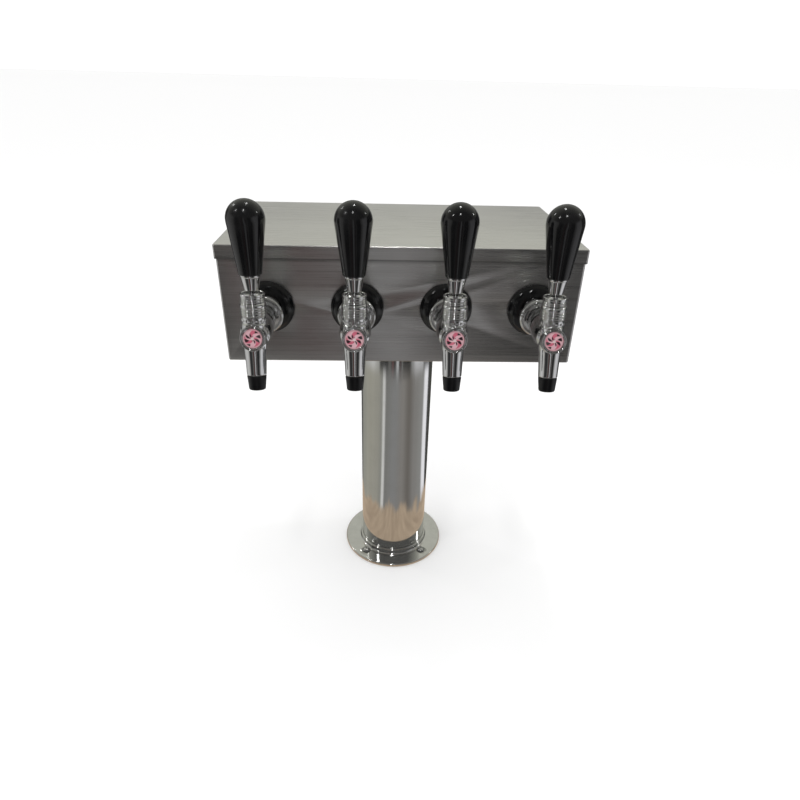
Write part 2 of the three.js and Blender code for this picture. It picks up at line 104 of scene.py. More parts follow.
# %% [markdown]
# ## Camera
# The tower is seen from in front and from a little above the handles, with a short lens,
# so the box tapers towards its foot. The camera is placed from the foot of the column.
# Its three turns are written one after the other: round Z, then the tilt down, then the
# slight roll of a camera held by hand.

# %% Camera
CAMERA_FROM_FOOT = Vector((-26.9, -763.3, 681.6)) * MM
LENS, TURN, TILT_DOWN, ROLL = 26.55, -0.0432, 0.5265, 0.0269
camera_data = bpy.data.cameras.new("camera")
camera_data.lens = LENS
camera_data.sensor_width = 36
camera_data.shift_x = 0.0003
camera_data.shift_y = 0.0159
camera = bpy.data.objects.new("camera", camera_data)
bpy.context.scene.collection.objects.link(camera)
turn = Matrix.Rotation(TURN, 4, "Z")
tilt = Matrix.Rotation(math.radians(90) - TILT_DOWN, 4, "X")
roll = Matrix.Rotation(ROLL, 4, "Z")
place = Matrix.Translation(Vector((0, column_y, 0)) + CAMERA_FROM_FOOT)
camera.matrix_world = place @ turn @ tilt @ roll
bpy.context.scene.camera = camera
print("camera at", [round(v, 3) for v in camera.location])

# %% [markdown]
# ## Small tools for shaping
# Blender's operators work on what is selected, so each piece is made with nothing else
# selected. `turned` is the lathe: one point is drawn out into an outline, and the outline is
# spun round Z. It suits nearly every piece of a faucet, because they are turned from bar.
# Lengths are given in millimetres from the piece's own line, and `settle` then puts the
# piece on that line and applies the move, so the place ends up in the mesh.


# %% Selecting, turning and settling
def choose(*pieces):
    bpy.ops.object.select_all(action="DESELECT")
    for piece in pieces:
        piece.select_set(True)
    bpy.context.view_layer.objects.active = pieces[0]


def turned(name, outline, sides=96):
    bpy.ops.object.select_all(action="DESELECT")
    bpy.ops.mesh.primitive_plane_add(size=MM)
    piece = bpy.context.object
    piece.name = name
    bpy.ops.object.mode_set(mode="EDIT")
    bpy.ops.mesh.select_mode(type="VERT")
    bpy.ops.mesh.select_all(action="SELECT")
    bpy.ops.mesh.merge(type="CENTER")
    radius, height = outline[0]
    bpy.ops.transform.translate(value=(radius * MM, 0, height * MM))
    for next_radius, next_height in outline[1:]:
        step = ((next_radius - radius) * MM, 0, (next_height - height) * MM)
        bpy.ops.mesh.extrude_vertices_move(TRANSFORM_OT_translate={"value": step})
        radius, height = next_radius, next_height
    bpy.ops.mesh.select_all(action="SELECT")
    bpy.ops.mesh.spin(steps=sides, angle=math.tau, center=(0, 0, 0), axis=(0, 0, 1))
    bpy.ops.mesh.select_all(action="SELECT")
    bpy.ops.mesh.remove_doubles(threshold=0.002 * MM)
    bpy.ops.mesh.normals_make_consistent(inside=False)
    bpy.ops.object.mode_set(mode="OBJECT")
    return piece


def ring(name, outline, sides=96):
    return turned(name, [*outline, outline[0]], sides)


def arc(centre, radius, start, end, steps=8):
    turns = [math.radians(start + (end - start) * i / steps) for i in range(steps + 1)]
    return [(centre[0] + radius * math.cos(t), centre[1] + radius * math.sin(t)) for t in turns]


def settle(piece, line):
    choose(piece)
    piece.matrix_world = line @ piece.matrix_world
    bpy.ops.object.transform_apply(location=True, rotation=True, scale=True)
    return piece


def apply_all(piece):
    choose(piece)
    for modifier in list(piece.modifiers):
        bpy.ops.object.modifier_apply(modifier=modifier.name)
    return piece


def modify(piece, kind, **settings):
    modifier = piece.modifiers.new(kind.lower(), kind)
    for name, value in settings.items():
        setattr(modifier, name, value)
    return piece


def soften(piece, width, segments=2, angle=30):
    return apply_all(modify(piece, "BEVEL", width=width * MM, segments=segments,
                            limit_method="ANGLE", angle_limit=math.radians(angle)))


def smooth(piece, angle=35):
    choose(piece)
    bpy.ops.object.shade_smooth_by_angle(angle=math.radians(angle))
    return piece


def cut(piece, *cutters, operation="DIFFERENCE"):
    for cutter in cutters:
        modify(piece, "BOOLEAN", operation=operation, solver="MANIFOLD", object=cutter)
    apply_all(piece)
    for cutter in cutters:
        bpy.data.objects.remove(cutter)
    return piece


def rod(radius, low, high, sides=48, line=Matrix.Identity(4)):
    outline = [(0, low), (radius, low), (radius, high), (0, high)]
    return settle(turned("rod", outline, sides), line)


def slab(low, high, line=Matrix.Identity(4)):
    bpy.ops.object.select_all(action="DESELECT")
    middle = [(a + b) / 2 * MM for a, b in zip(low, high)]
    bpy.ops.mesh.primitive_cube_add(size=1, location=middle)
    piece = bpy.context.object
    piece.scale = [(b - a) * MM for a, b in zip(low, high)]
    bpy.ops.object.transform_apply(location=True, rotation=True, scale=True)
    return settle(piece, line)


# %% [markdown]
# ## Shared effects for the finishes
# Steel and plastic that people handle share a few marks: the lines left by a brush or a
# lathe, the dull patches left by fingers and cloths, and the worn edges, where the metal
# turns a little rougher. On the black plastics those edges are painted paler, partly as
# wear and partly as a painted edge highlight. Each is a node group, built once and placed
# in every material that shows it with values of its own. A group gives only numbers that
# vary over the surface. The shader itself stays in the material.


# %% Node helpers
def link(tree, source, target):
    tree.links.new(source, target)


def new_group(name, inputs, outputs, gives="NodeSocketFloat"):
    group = bpy.data.node_groups.new(name, "ShaderNodeTree")
    for socket, kind, value in inputs:
        made = group.interface.new_socket(socket, in_out="INPUT", socket_type=kind)
        made.default_value = value
    for socket in outputs:
        group.interface.new_socket(socket, in_out="OUTPUT", socket_type=gives)
    entry = group.nodes.new("NodeGroupInput")
    leave = group.nodes.new("NodeGroupOutput")
    return group, entry, leave


def object_coordinates(tree, scale_source=None, scale=(1, 1, 1)):
    coordinates = tree.nodes.new("ShaderNodeTexCoord")
    mapping = tree.nodes.new("ShaderNodeMapping")
    mapping.inputs["Scale"].default_value = scale
    link(tree, coordinates.outputs["Object"], mapping.inputs["Vector"])
    if scale_source is not None:
        link(tree, scale_source, mapping.inputs["Scale"])
    return mapping.outputs["Vector"]


def noise(tree, vector, scale, detail=3.0, roughness=0.5):
    node = tree.nodes.new("ShaderNodeTexNoise")
    node.inputs["Detail"].default_value = detail
    node.inputs["Roughness"].default_value = roughness
    link(tree, vector, node.inputs["Vector"])
    if isinstance(scale, float):
        node.inputs["Scale"].default_value = scale
    else:
        link(tree, scale, node.inputs["Scale"])
    return node.outputs["Fac"]


def ramp(tree, value, low, high, to_low=0.0, to_high=1.0):
    node = tree.nodes.new("ShaderNodeMapRange")
    node.inputs["From Min"].default_value = low
    node.inputs["From Max"].default_value = high
    node.inputs["To Min"].default_value = to_low
    node.inputs["To Max"].default_value = to_high
    link(tree, value, node.inputs["Value"])
    return node.outputs["Result"]


def sums(tree, operation, first, second):
    node = tree.nodes.new("ShaderNodeMath")
    node.operation = operation
    for socket, value in zip(node.inputs, (first, second)):
        if isinstance(value, (int, float)):
            socket.default_value = value
        else:
            link(tree, value, socket)
    return node.outputs["Value"]


def times(tree, first, second):
    return sums(tree, "MULTIPLY", first, second)


def plus(tree, first, second):
    return sums(tree, "ADD", first, second)


def parts_of(tree, vector):
    node = tree.nodes.new("ShaderNodeSeparateXYZ")
    link(tree, vector, node.inputs["Vector"])
    return node.outputs


def length_of(tree, vector):
    node = tree.nodes.new("ShaderNodeVectorMath")
    node.operation = "LENGTH"
    link(tree, vector, node.inputs[0])
    return node.outputs["Value"]


def blend_colours(tree, mask, first, second):
    node = tree.nodes.new("ShaderNodeMix")
    node.data_type = "RGBA"
    link(tree, mask, node.inputs["Factor"])
    for socket, colour in zip((node.inputs[6], node.inputs[7]), (first, second)):
        if isinstance(colour, tuple):
            socket.default_value = (*colour, 1)
        else:
            link(tree, colour, socket)
    return node.outputs[2]


# %% [markdown]
# ### Fine lines
# Brushing and turning both leave lines that run one way. Noise stretched far along one axis
# gives such lines, and a vector input says how far. Two layers are mixed: hair lines, and
# the wider bands where the belt pressed harder.

# %% Fine lines group
lines_group, entry, leave = new_group(
    "fine_lines", [("Stretch", "NodeSocketVector", (4, 4, 900))], ["Hair", "Bands"])
stretched = object_coordinates(lines_group, entry.outputs["Stretch"])
hair = noise(lines_group, stretched, 1.6, detail=4.0, roughness=0.65)
bands = noise(lines_group, stretched, 0.11, detail=2.0)
link(lines_group, ramp(lines_group, hair, 0.3, 0.7), leave.inputs["Hair"])
link(lines_group, ramp(lines_group, bands, 0.3, 0.7), leave.inputs["Bands"])
print("group", lines_group.name)

# %% [markdown]
# ### Handling marks
# A clean bar still shows where cloths and fingers went: broad dull clouds, small smears
# inside them, and a few dried drops. The clouds gate the smears, so marks gather in
# places. That looks truer than an even sprinkle.

# %% Handling marks group
marks_group, entry, leave = new_group(
    "handling_marks", [("Size", "NodeSocketFloat", 18.0)], ["Smears", "Drops"])
plain = object_coordinates(marks_group)
clouds = noise(marks_group, plain, entry.outputs["Size"], detail=2.0)
size_of_smears = times(marks_group, entry.outputs["Size"], 6.0)
smears = noise(marks_group, plain, size_of_smears, detail=5.0, roughness=0.6)
gate = ramp(marks_group, clouds, 0.42, 0.68)
link(marks_group, times(marks_group, gate, smears), leave.inputs["Smears"])
drops = marks_group.nodes.new("ShaderNodeTexVoronoi")
drops.feature = "F1"
size_of_drops = times(marks_group, entry.outputs["Size"], 9.0)
link(marks_group, plain, drops.inputs["Vector"])
link(marks_group, size_of_drops, drops.inputs["Scale"])
spot = ramp(marks_group, drops.outputs["Distance"], 0.2, 0.1)
link(marks_group, times(marks_group, spot, gate), leave.inputs["Drops"])
print("group", marks_group.name)

# %% [markdown]
# ### Edge wear
# Hands and cloths polish the corners first. Pointiness tells how sharply the mesh turns,
# and a little noise breaks its edge up, so the wear comes and goes along a corner. The
# metals take it as roughness. The black plastics are also painted paler with it, partly as
# wear and partly as a painted edge highlight.

# %% Edge wear group
edge_wear_and_sheen_group, entry, leave = new_group(
    "edge_wear", [("Reach", "NodeSocketFloat", 0.53)], ["Wear"])
shape = edge_wear_and_sheen_group.nodes.new("ShaderNodeNewGeometry")
breakup = noise(edge_wear_and_sheen_group, object_coordinates(edge_wear_and_sheen_group), 160.0, detail=3.0)
raised = sums(edge_wear_and_sheen_group, "SUBTRACT", shape.outputs["Pointiness"], entry.outputs["Reach"])
raised = times(edge_wear_and_sheen_group, raised, 18.0)
uneven = times(edge_wear_and_sheen_group, raised, breakup)
link(edge_wear_and_sheen_group, ramp(edge_wear_and_sheen_group, uneven, 0.0, 1.0), leave.inputs["Wear"])
print("group", edge_wear_and_sheen_group.name)


# %% [markdown]
# ## Starting a material
# Every finish starts from Blender's Principled shader, with a metal share, a colour and a
# roughness. The groups are then placed in it, and a Bump node turns a height into relief.


# %% Starting a material
def new_material(name, metallic, colour, roughness):
    material = bpy.data.materials.new(name)
    material.use_nodes = True
    tree = material.node_tree
    shader = tree.nodes["Principled BSDF"]
    shader.inputs["Metallic"].default_value = metallic
    shader.inputs["Base Color"].default_value = (*colour, 1)
    shader.inputs["Roughness"].default_value = roughness
    return material, tree, shader


def use_group(tree, group, **values):
    node = tree.nodes.new("ShaderNodeGroup")
    node.node_tree = group
    for socket, value in values.items():
        node.inputs[socket].default_value = value
    return node.outputs


def bump(tree, shader, height, strength, distance):
    node = tree.nodes.new("ShaderNodeBump")
    node.inputs["Strength"].default_value = strength
    node.inputs["Distance"].default_value = distance * MM
    link(tree, height, node.inputs["Height"])
    link(tree, node.outputs["Normal"], shader.inputs["Normal"])


# %% [markdown]
# ## Brushed steel sheet
# The box and its lid are sheet steel with a fine horizontal brushing. One stretch can't
# serve every face: the walls want lines that change with height, and the top wants lines
# that change with depth. So the group is placed twice, and the way that a face looks, up
# or sideways, picks between them. It also picks the tone: the walls are painted darker and
# the top paler, as painted shade and painted light on one sheet. Brushed metal also smears
# what it reflects across its lines, and the Anisotropic value with a tangent that runs
# across the lines does the same.
# Last, a painted shadow darkens the wall in a thin band just under the lid's lip.


# %% Brushed sheet
def brushed_sheet():
    material, tree, shader = new_material("brushed_sheet", 1, (0.5, 0.49, 0.47), 0.3)
    walls = use_group(tree, lines_group, Stretch=(5, 5, 1300))
    top = use_group(tree, lines_group, Stretch=(5, 1300, 5))
    marks = use_group(tree, marks_group, Size=9.0)
    facing = parts_of(tree, tree.nodes.new("ShaderNodeNewGeometry").outputs["True Normal"])
    upward = ramp(tree, sums(tree, "ABSOLUTE", facing["Z"], 0), 0.6, 0.8)
    sideways = sums(tree, "SUBTRACT", 1, upward)
    hair = plus(tree, times(tree, walls["Hair"], sideways), times(tree, top["Hair"], upward))
    tint = plus(tree, times(tree, hair, 0.7), times(tree, walls["Bands"], 0.3))
    # Painted light and shade: the walls of the one sheet get darker tones, and the top gets paler
    # ones.
    shaded_walls_colour = blend_colours(tree, tint, (0.41, 0.4, 0.39), (0.62, 0.61, 0.6))
    lit_top_colour = blend_colours(tree, tint, (0.56, 0.555, 0.54), (0.84, 0.835, 0.82))
    colour = blend_colours(tree, upward, shaded_walls_colour, lit_top_colour)
    # Painted shadow: a thin band of the wall just under the lid's lip is darkened, as shade from
    # the lid.
    height, lip = parts_of(tree, object_coordinates(tree))["Z"], lid_low.z
    painted_lip_shadow = times(tree, ramp(tree, height, lip - 5 * MM, lip + 1 * MM),
                  ramp(tree, height, lip + 2.5 * MM, lip + 1.5 * MM))
    painted_lip_shadow = times(tree, times(tree, painted_lip_shadow, painted_lip_shadow), sideways)
    colour = blend_colours(tree, times(tree, painted_lip_shadow, 0.6), colour, (0.1, 0.1, 0.1))
    link(tree, colour, shader.inputs["Base Color"])
    dull = plus(tree, ramp(tree, hair, 0, 1, 0.24, 0.35), times(tree, marks["Smears"], 0.08))
    link(tree, dull, shader.inputs["Roughness"])
    bump(tree, shader, hair, 0.3, 0.02)
    across = tree.nodes.new("ShaderNodeCombineXYZ")
    link(tree, upward, across.inputs["Y"])
    link(tree, sideways, across.inputs["Z"])
    link(tree, across.outputs["Vector"], shader.inputs["Tangent"])
    shader.inputs["Anisotropic"].default_value = 0.2
    return material


brushed = brushed_sheet()
print("material", brushed.name)

# %% [markdown]
# ## Polished steel, chrome and plain steel
# The column and flange are polished: nearly a mirror, with faint draw lines along the
# tube. The faucets are chromed, sharper still and slightly cooler, and their marks are
# finger smears. Hidden parts are plain turned steel with visible tool lines.


# %% Smooth metals
def smooth_metal(name, colour, dark, roughness, stretch, lines, smears, line_depth):
    material, tree, shader = new_material(name, 1, colour, roughness)
    tool = use_group(tree, lines_group, Stretch=stretch)
    marks = use_group(tree, marks_group, Size=26.0)
    edge_wear_and_sheen = use_group(tree, edge_wear_and_sheen_group)
    clean = blend_colours(tree, tool["Bands"], dark, colour)
    tarnish = times(tree, marks["Smears"], 0.35)
    worn = blend_colours(tree, tarnish, clean, tuple(0.8 * c for c in dark))
    link(tree, worn, shader.inputs["Base Color"])
    dull = plus(tree, ramp(tree, tool["Hair"], 0, 1, roughness, roughness + lines),
                times(tree, marks["Smears"], smears))
    dull = plus(tree, dull, times(tree, marks["Drops"], smears * 0.6))
    dull = plus(tree, dull, times(tree, edge_wear_and_sheen["Wear"], lines))
    link(tree, dull, shader.inputs["Roughness"])
    bump(tree, shader, tool["Hair"], 0.2, line_depth)
    return material


polished = smooth_metal("polished_sheet", (0.66, 0.66, 0.65), (0.62, 0.62, 0.61),
                        0.06, (900, 900, 3), 0.05, 0.08, 0.002)
chrome = smooth_metal("faucet_chrome", (0.68, 0.68, 0.68), (0.62, 0.62, 0.62),
                      0.04, (60, 60, 60), 0.02, 0.1, 0.001)
plain_steel = smooth_metal("plain_steel", (0.6, 0.6, 0.61), (0.44, 0.44, 0.45),
                           0.22, (12, 900, 12), 0.14, 0.12, 0.01)
print("materials", polished.name, chrome.name, plain_steel.name)

# %% [markdown]
# ## Black plastics and rubber
# The handles and wall flanges are moulded in gloss black. Such a moulding has a faint
# orange-peel swell, and dust shows on it as small grey flecks. Its sharp edges are painted
# paler, partly as edge wear and partly as a painted edge highlight. The spout tips are a
# duller, softer black. Seals are plain rubber.


# %% Black plastics
def black_plastic(name, colour, roughness, coat, swell, dust):
    material, tree, shader = new_material(name, 0, colour, roughness)
    marks = use_group(tree, marks_group, Size=30.0)
    edge_wear_and_sheen = use_group(tree, edge_wear_and_sheen_group)
    plain = object_coordinates(tree)
    flecks = ramp(tree, noise(tree, plain, 1400.0, detail=1.0), 0.72, 0.8)
    # Paler at sharp edges, partly edge wear and partly a painted edge highlight. The flecks and
    # smears are dust and marks.
    dust_and_edge_sheen = plus(tree, times(tree, flecks, dust),
                times(tree, edge_wear_and_sheen["Wear"], 0.3))
    dust_and_edge_sheen = plus(tree, dust_and_edge_sheen, times(tree, marks["Smears"], dust))
    pale = tuple(0.04 + c for c in colour)
    link(tree, blend_colours(tree, dust_and_edge_sheen, colour, pale), shader.inputs["Base Color"])
    dull = plus(tree, ramp(tree, marks["Smears"], 0, 0.6, roughness, roughness + 0.16),
                times(tree, flecks, 0.2))
    link(tree, dull, shader.inputs["Roughness"])
    bump(tree, shader, noise(tree, plain, 420.0, detail=2.0), 0.3, swell)
    shader.inputs["Specular IOR Level"].default_value = 0.32
    shader.inputs["Coat Weight"].default_value = coat
    shader.inputs["Coat Roughness"].default_value = 0.03
    return material


gloss_black = black_plastic("gloss_black", (0.003, 0.003, 0.0033), 0.1, 0.15, 0.004, 0.1)
tip_black = black_plastic("tip_black", (0.0015, 0.0015, 0.002), 0.3, 0.0, 0.02, 0.05)
rubber = black_plastic("seal_rubber", (0.018, 0.017, 0.016), 0.55, 0.0, 0.05, 0.5)
print("materials", gloss_black.name, tip_black.name, rubber.name)

# %% [markdown]
# ## Printed badge
# Each faucet has a round printed badge under a clear dome. The print here is a plain
# ornament of petals and a ring, in rose red on pale pink with dark gaps. It is drawn in the
# badge's own UV map, where the middle is 0.5, 0.5: the angle round the middle makes the
# petals, and the distance from it makes the rings.


# %% Badge print
def badge_print():
    material, tree, shader = new_material("badge_print", 0, (0.7, 0.2, 0.28), 0.25)
    coordinates = tree.nodes.new("ShaderNodeUVMap")
    coordinates.uv_map = "badge"
    centred = tree.nodes.new("ShaderNodeVectorMath")
    centred.operation = "SUBTRACT"
    centred.inputs[1].default_value = (0.5, 0.5, 0)
    link(tree, coordinates.outputs["UV"], centred.inputs[0])
    from_middle = centred.outputs["Vector"]
    parts, away = parts_of(tree, from_middle), length_of(tree, from_middle)
    round_turn = sums(tree, "ARCTAN2", parts["Y"], parts["X"])
    swirl = plus(tree, round_turn, times(tree, away, 4.0))
    petals = sums(tree, "SINE", times(tree, swirl, 3.0), 0)
    inner = sums(tree, "SINE", times(tree, round_turn, 5.0), 0)
    ink = noise(tree, from_middle, 26.0, detail=3.0)
    petal_mask = ramp(tree, petals, 0.1, 0.3)
    rose = blend_colours(tree, ink, (0.3, 0.03, 0.06), (0.52, 0.15, 0.21))
    picture = blend_colours(tree, petal_mask, (0.5, 0.3, 0.33), rose)
    dark_gap = ramp(tree, times(tree, petals, inner), -0.1, -0.35)
    picture = blend_colours(tree, dark_gap, picture, (0.03, 0.01, 0.015))
    heart = ramp(tree, away, 0.08, 0.065)
    picture = blend_colours(tree, heart, picture, (0.5, 0.38, 0.38))
    border = ramp(tree, away, 0.37, 0.385)
    picture = blend_colours(tree, border, picture, (0.42, 0.24, 0.26))
    edge = ramp(tree, away, 0.43, 0.445)
    picture = blend_colours(tree, edge, picture, (0.3, 0.14, 0.17))
    link(tree, picture, shader.inputs["Base Color"])
    link(tree, ramp(tree, ink, 0, 1, 0.12, 0.3), shader.inputs["Roughness"])
    bump(tree, shader, petal_mask, 0.15, 0.02)
    shader.inputs["Coat Weight"].default_value = 1.0
    shader.inputs["Coat Roughness"].default_value = 0.03
    return material


badge_ink = badge_print()
print("material", badge_ink.name)


# %% [markdown]
# ## Handing a piece over
# A finished piece is given what it is made of and the CAD body it moves with, and the CAD
# node that it stands for is hidden. What repeats on every faucet is modelled once, at x = 0,
# and then copied with a mesh of its own for each.


# %% Handing over
def hand_over(piece, material, slot, body, *nodes):
    piece.data.materials.clear()
    piece.data.materials.append(material)
    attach(piece, body)
    if nodes:
        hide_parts(*nodes)
    return piece


def on_each_faucet(piece, material, slot, body="tower", node=None):
    """Copies a piece made at x = 0 to every faucet. A body or node ending in _ gets the number."""
    for number, x in faucets.items():
        choose(piece)
        bpy.ops.object.duplicate()
        copy = bpy.context.object
        copy.name = f"{piece.name}_{number}"
        bpy.ops.transform.translate(value=(x, 0, 0))
        bpy.ops.object.transform_apply(location=True, rotation=True, scale=True)
        rides = body + number if body.endswith("_") else body
        stands_for = [node + number] if node else []
        hand_over(copy, material, slot, rides, *stands_for)
    print(piece.name, "x", len(faucets), "with", len(piece.data.polygons), "faces each")
    bpy.data.objects.remove(piece)


def faucet_piece(piece, line, angle, *finish, **ride):
    on_each_faucet(smooth(settle(piece, line), angle), *finish, **ride)


def on_circle(radius, start, count):
    turns = [math.radians(start + 360 * i / count) for i in range(count)]
    return [Matrix.Translation((radius * MM * math.cos(t), radius * MM * math.sin(t), 0))
            for t in turns]


# %% [markdown]
# # The tower
# ## Base flange
# A disc with a short neck, turned and polished, that spreads the load on the counter. The
# outline has round arcs at the rim and where the neck rises, because a polisher's wheel
# leaves no sharp corner. Four holes are cut for the screws.

# %% Base flange
SCREW_HOLE_R, SCREW_SEAT_R = 3.1, 7.2
FLANGE_R, FLANGE_T = (base_high.x - base_low.x) / 2 / MM, 5.0
NECK_TOP = base_high.z / MM
COLUMN_R = (column_high.x - column_low.x) / 2 / MM
bore = COLUMN_R + 0.3
neck = bore + 2.4
outline = [
    (bore, 0.3), (bore + 0.3, 0), (FLANGE_R - 0.6, 0),
    *arc((FLANGE_R - 1.2, 1.2), 1.2, -60, 0, 4),
    *arc((FLANGE_R - 1.9, FLANGE_T - 1.9), 1.9, 0, 90, 8),
    *arc((neck + 2, FLANGE_T + 2), 2, 270, 180, 8),
    (neck, NECK_TOP - 2.6),
    *arc((neck - 0.5, NECK_TOP - 2), 0.5, -60, -180, 4),
    (neck - 0.95, NECK_TOP - 1.4),
    *arc((neck - 0.7, NECK_TOP - 0.7), 0.7, 0, 90, 5),
    (bore, NECK_TOP),
]
flange = ring("base_plate", outline, 160)
screw_low, screw_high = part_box("flange_screw_1")
screw_circle = math.hypot((screw_low.x + screw_high.x) / 2,
                          (screw_low.y + screw_high.y) / 2 - column_y) / MM
holes = []
for spot in on_circle(screw_circle, 45, 4):
    holes.append(rod(SCREW_HOLE_R, -1, FLANGE_T + 1, 40, spot))
    holes.append(rod(SCREW_SEAT_R, FLANGE_T - 0.45, FLANGE_T + 1, 40, spot))
cut(flange, *holes)
soften(flange, 0.12, 2, 40)
settle(flange, at_column)
hand_over(smooth(flange, 30), polished, "polished_sheet", "tower", "base_flange")
print("base flange radius", round(FLANGE_R, 1), "faces", len(flange.data.polygons))

# %% [markdown]
# ## Column
# A welded and polished steel tube. Its ends are faced square with a small break of the
# edge, inside and out.

# %% Column
tube_low, tube_high = column_low.z / MM, column_high.z / MM
inner = COLUMN_R - 1.5
tube = ring("column", [
    (inner, tube_low + 0.3), (inner + 0.3, tube_low), (COLUMN_R - 0.3, tube_low),
    (COLUMN_R, tube_low + 0.3), (COLUMN_R, 40), (COLUMN_R, 150), (COLUMN_R, 270),
    (COLUMN_R, tube_high - 0.3), (COLUMN_R - 0.3, tube_high), (inner + 0.3, tube_high),
    (inner, tube_high - 0.3), (inner, 190),
], 160)
settle(tube, at_column)
hand_over(smooth(tube, 30), polished, "polished_sheet", "tower", "column_tube")
print("column from", round(tube_low, 1), "to", round(tube_high, 1), "mm")


# %% [markdown]
# ## Screws
# Pan-head screws hold the flange, and three more hold the box to a ring inside the column.
# The head is a shallow dome from an arc. Its cross slot is cut with two thin blocks.


# %% Screws
def pan_screw(name, head, height, shaft, length):
    dome = (head * head + height * height) / (2 * height)
    side = height * 0.35
    low_turn = math.degrees(math.asin((side + dome - height) / dome))
    piece = turned(name, [
        (0, -length), (shaft - 0.4, -length), (shaft, 0.5 - length), (shaft, 0),
        (head - 0.25, 0), (head, 0.25),
        *[(r, h) for r, h in arc((0, height - dome), dome, low_turn, 90, 9) if r < head],
    ], 48)
    wide, thin, deep = head * 0.55, head * 0.11, height * 0.35
    piece = cut(piece, slab((-wide, -thin, deep), (wide, thin, height + 1)),
                slab((-thin, -wide, deep), (thin, wide, height + 1)))
    return soften(piece, 0.1, 1, 40)


for number in (1, 2, 3, 4):
    node = f"flange_screw_{number}"
    low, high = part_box(node)
    screw = pan_screw(f"base_screw_{number}", 6, 3.4, 2.7, 4.7)
    across = Vector(((low.x + high.x) / 2, (low.y + high.y) / 2, high.z - 3.4 * MM))
    slot_turn = math.radians(90 * number - 45) * 1.7
    settle(screw, Matrix.Translation(across) @ Matrix.Rotation(slot_turn, 4, "Z"))
    hand_over(smooth(screw, 30), polished, "polished_sheet", "tower", node)
for number in (1, 2, 3):
    node = f"head_screw_{number}"
    low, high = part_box(node)
    screw = pan_screw(f"box_screw_{number}", 5, 3, 2.4, 6.6)
    across = Vector(((low.x + high.x) / 2, (low.y + high.y) / 2, high.z - 3 * MM))
    settle(screw, Matrix.Translation(across) @ Matrix.Rotation(number * 0.8, 4, "Z"))
    hand_over(smooth(screw, 30), plain_steel, "plain_steel", "tower", node)
print("screws made")

# %% [markdown]
# ## Head ring
# A thick ring welded inside the top of the column. The box is screwed down to it.

# %% Head ring
HEAD_CIRCLE, HEAD_HOLE_R, PASSAGE_R = 41.5, 2.65, 34
head_low, head_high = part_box("column_head_ring")
ring_low, ring_high = head_low.z / MM, head_high.z / MM
ring_r = (head_high.x - head_low.x) / 2 / MM
head = ring("head_ring", [
    (PASSAGE_R, ring_low + 0.5), (PASSAGE_R + 0.5, ring_low), (ring_r - 0.5, ring_low),
    (ring_r, ring_low + 0.5), (ring_r, ring_high - 0.5), (ring_r - 0.5, ring_high),
    (PASSAGE_R + 0.5, ring_high), (PASSAGE_R, ring_high - 0.5),
], 128)
head_holes = on_circle(HEAD_CIRCLE, 90, 3)
cut(head, *[rod(HEAD_HOLE_R, ring_low - 1, ring_high + 1, 32, spot) for spot in head_holes])
settle(head, at_column)
hand_over(smooth(head, 30), plain_steel, "plain_steel", "tower", "column_head_ring")
print("head ring", round(ring_low, 1), "to", round(ring_high, 1), "mm")

# %% [markdown]
# ## Box
# One sheet folded up into an open tray, with a rim folded inwards at the top. A cube is
# the start: its top is removed, the upright corners and the bottom edges are rounded as a
# press brake bends them, and the open edge is drawn inwards for the rim. Solidify then
# gives the sheet its thickness, inwards, so the outside keeps its size.


# %% Box
def edges_where(piece, test):
    """Selects, in edit mode, the edges whose two ends pass the test."""
    bpy.ops.object.mode_set(mode="EDIT")
    bpy.ops.mesh.select_all(action="DESELECT")
    bpy.ops.mesh.select_mode(type="EDGE")
    bpy.ops.object.mode_set(mode="OBJECT")
    for edge in piece.data.edges:
        ends = [piece.data.vertices[v].co for v in edge.vertices]
        edge.select = test(*ends)
    bpy.ops.object.mode_set(mode="EDIT")


def faces_where(piece, test):
    """The same for faces."""
    edges_where(piece, lambda a, b: False)
    bpy.ops.mesh.select_mode(type="FACE")
    bpy.ops.object.mode_set(mode="OBJECT")
    for face in piece.data.polygons:
        face.select = test(face)
    bpy.ops.object.mode_set(mode="EDIT")


def folded_tray(name, low, high, open_up, corner, bend, sheet, rim):
    """An open tray of sheet. open_up tells whether its mouth looks up or down."""
    bpy.ops.object.select_all(action="DESELECT")
    bpy.ops.mesh.primitive_cube_add(size=1, location=(low + high) / 2)
    tray = bpy.context.object
    tray.name = name
    tray.scale = high - low
    bpy.ops.object.transform_apply(location=True, rotation=True, scale=True)
    mouth = high.z if open_up else low.z
    floor = low.z if open_up else high.z
    edges_where(tray, lambda a, b: abs(a.z - b.z) > MM)
    bpy.ops.mesh.bevel(offset=corner * MM, segments=6, affect="EDGES")
    edges_where(tray, lambda a, b: abs(a.z - floor) + abs(b.z - floor) < 1e-6)
    bpy.ops.mesh.bevel(offset=bend * MM, segments=5, affect="EDGES")
    faces_where(tray, lambda face: abs(face.center.z - mouth) < 1e-6)
    bpy.ops.mesh.delete(type="FACE")
    if rim:
        edges_where(tray, lambda a, b: abs(a.z - mouth) + abs(b.z - mouth) < 1e-6)
        bpy.ops.mesh.extrude_region_move()
        wide, deep = high.x - low.x, high.y - low.y
        middle = (low + high) / 2
        bpy.ops.transform.resize(
            value=(1 - 2 * rim * MM / wide, 1 - 2 * rim * MM / deep, 1),
            center_override=(middle.x, middle.y, mouth))
        bpy.ops.mesh.select_all(action="SELECT")
        bpy.ops.mesh.normals_make_consistent(inside=False)
    bpy.ops.object.mode_set(mode="OBJECT")
    return apply_all(modify(tray, "SOLIDIFY", thickness=sheet * MM, offset=-1,
                            use_even_offset=True))


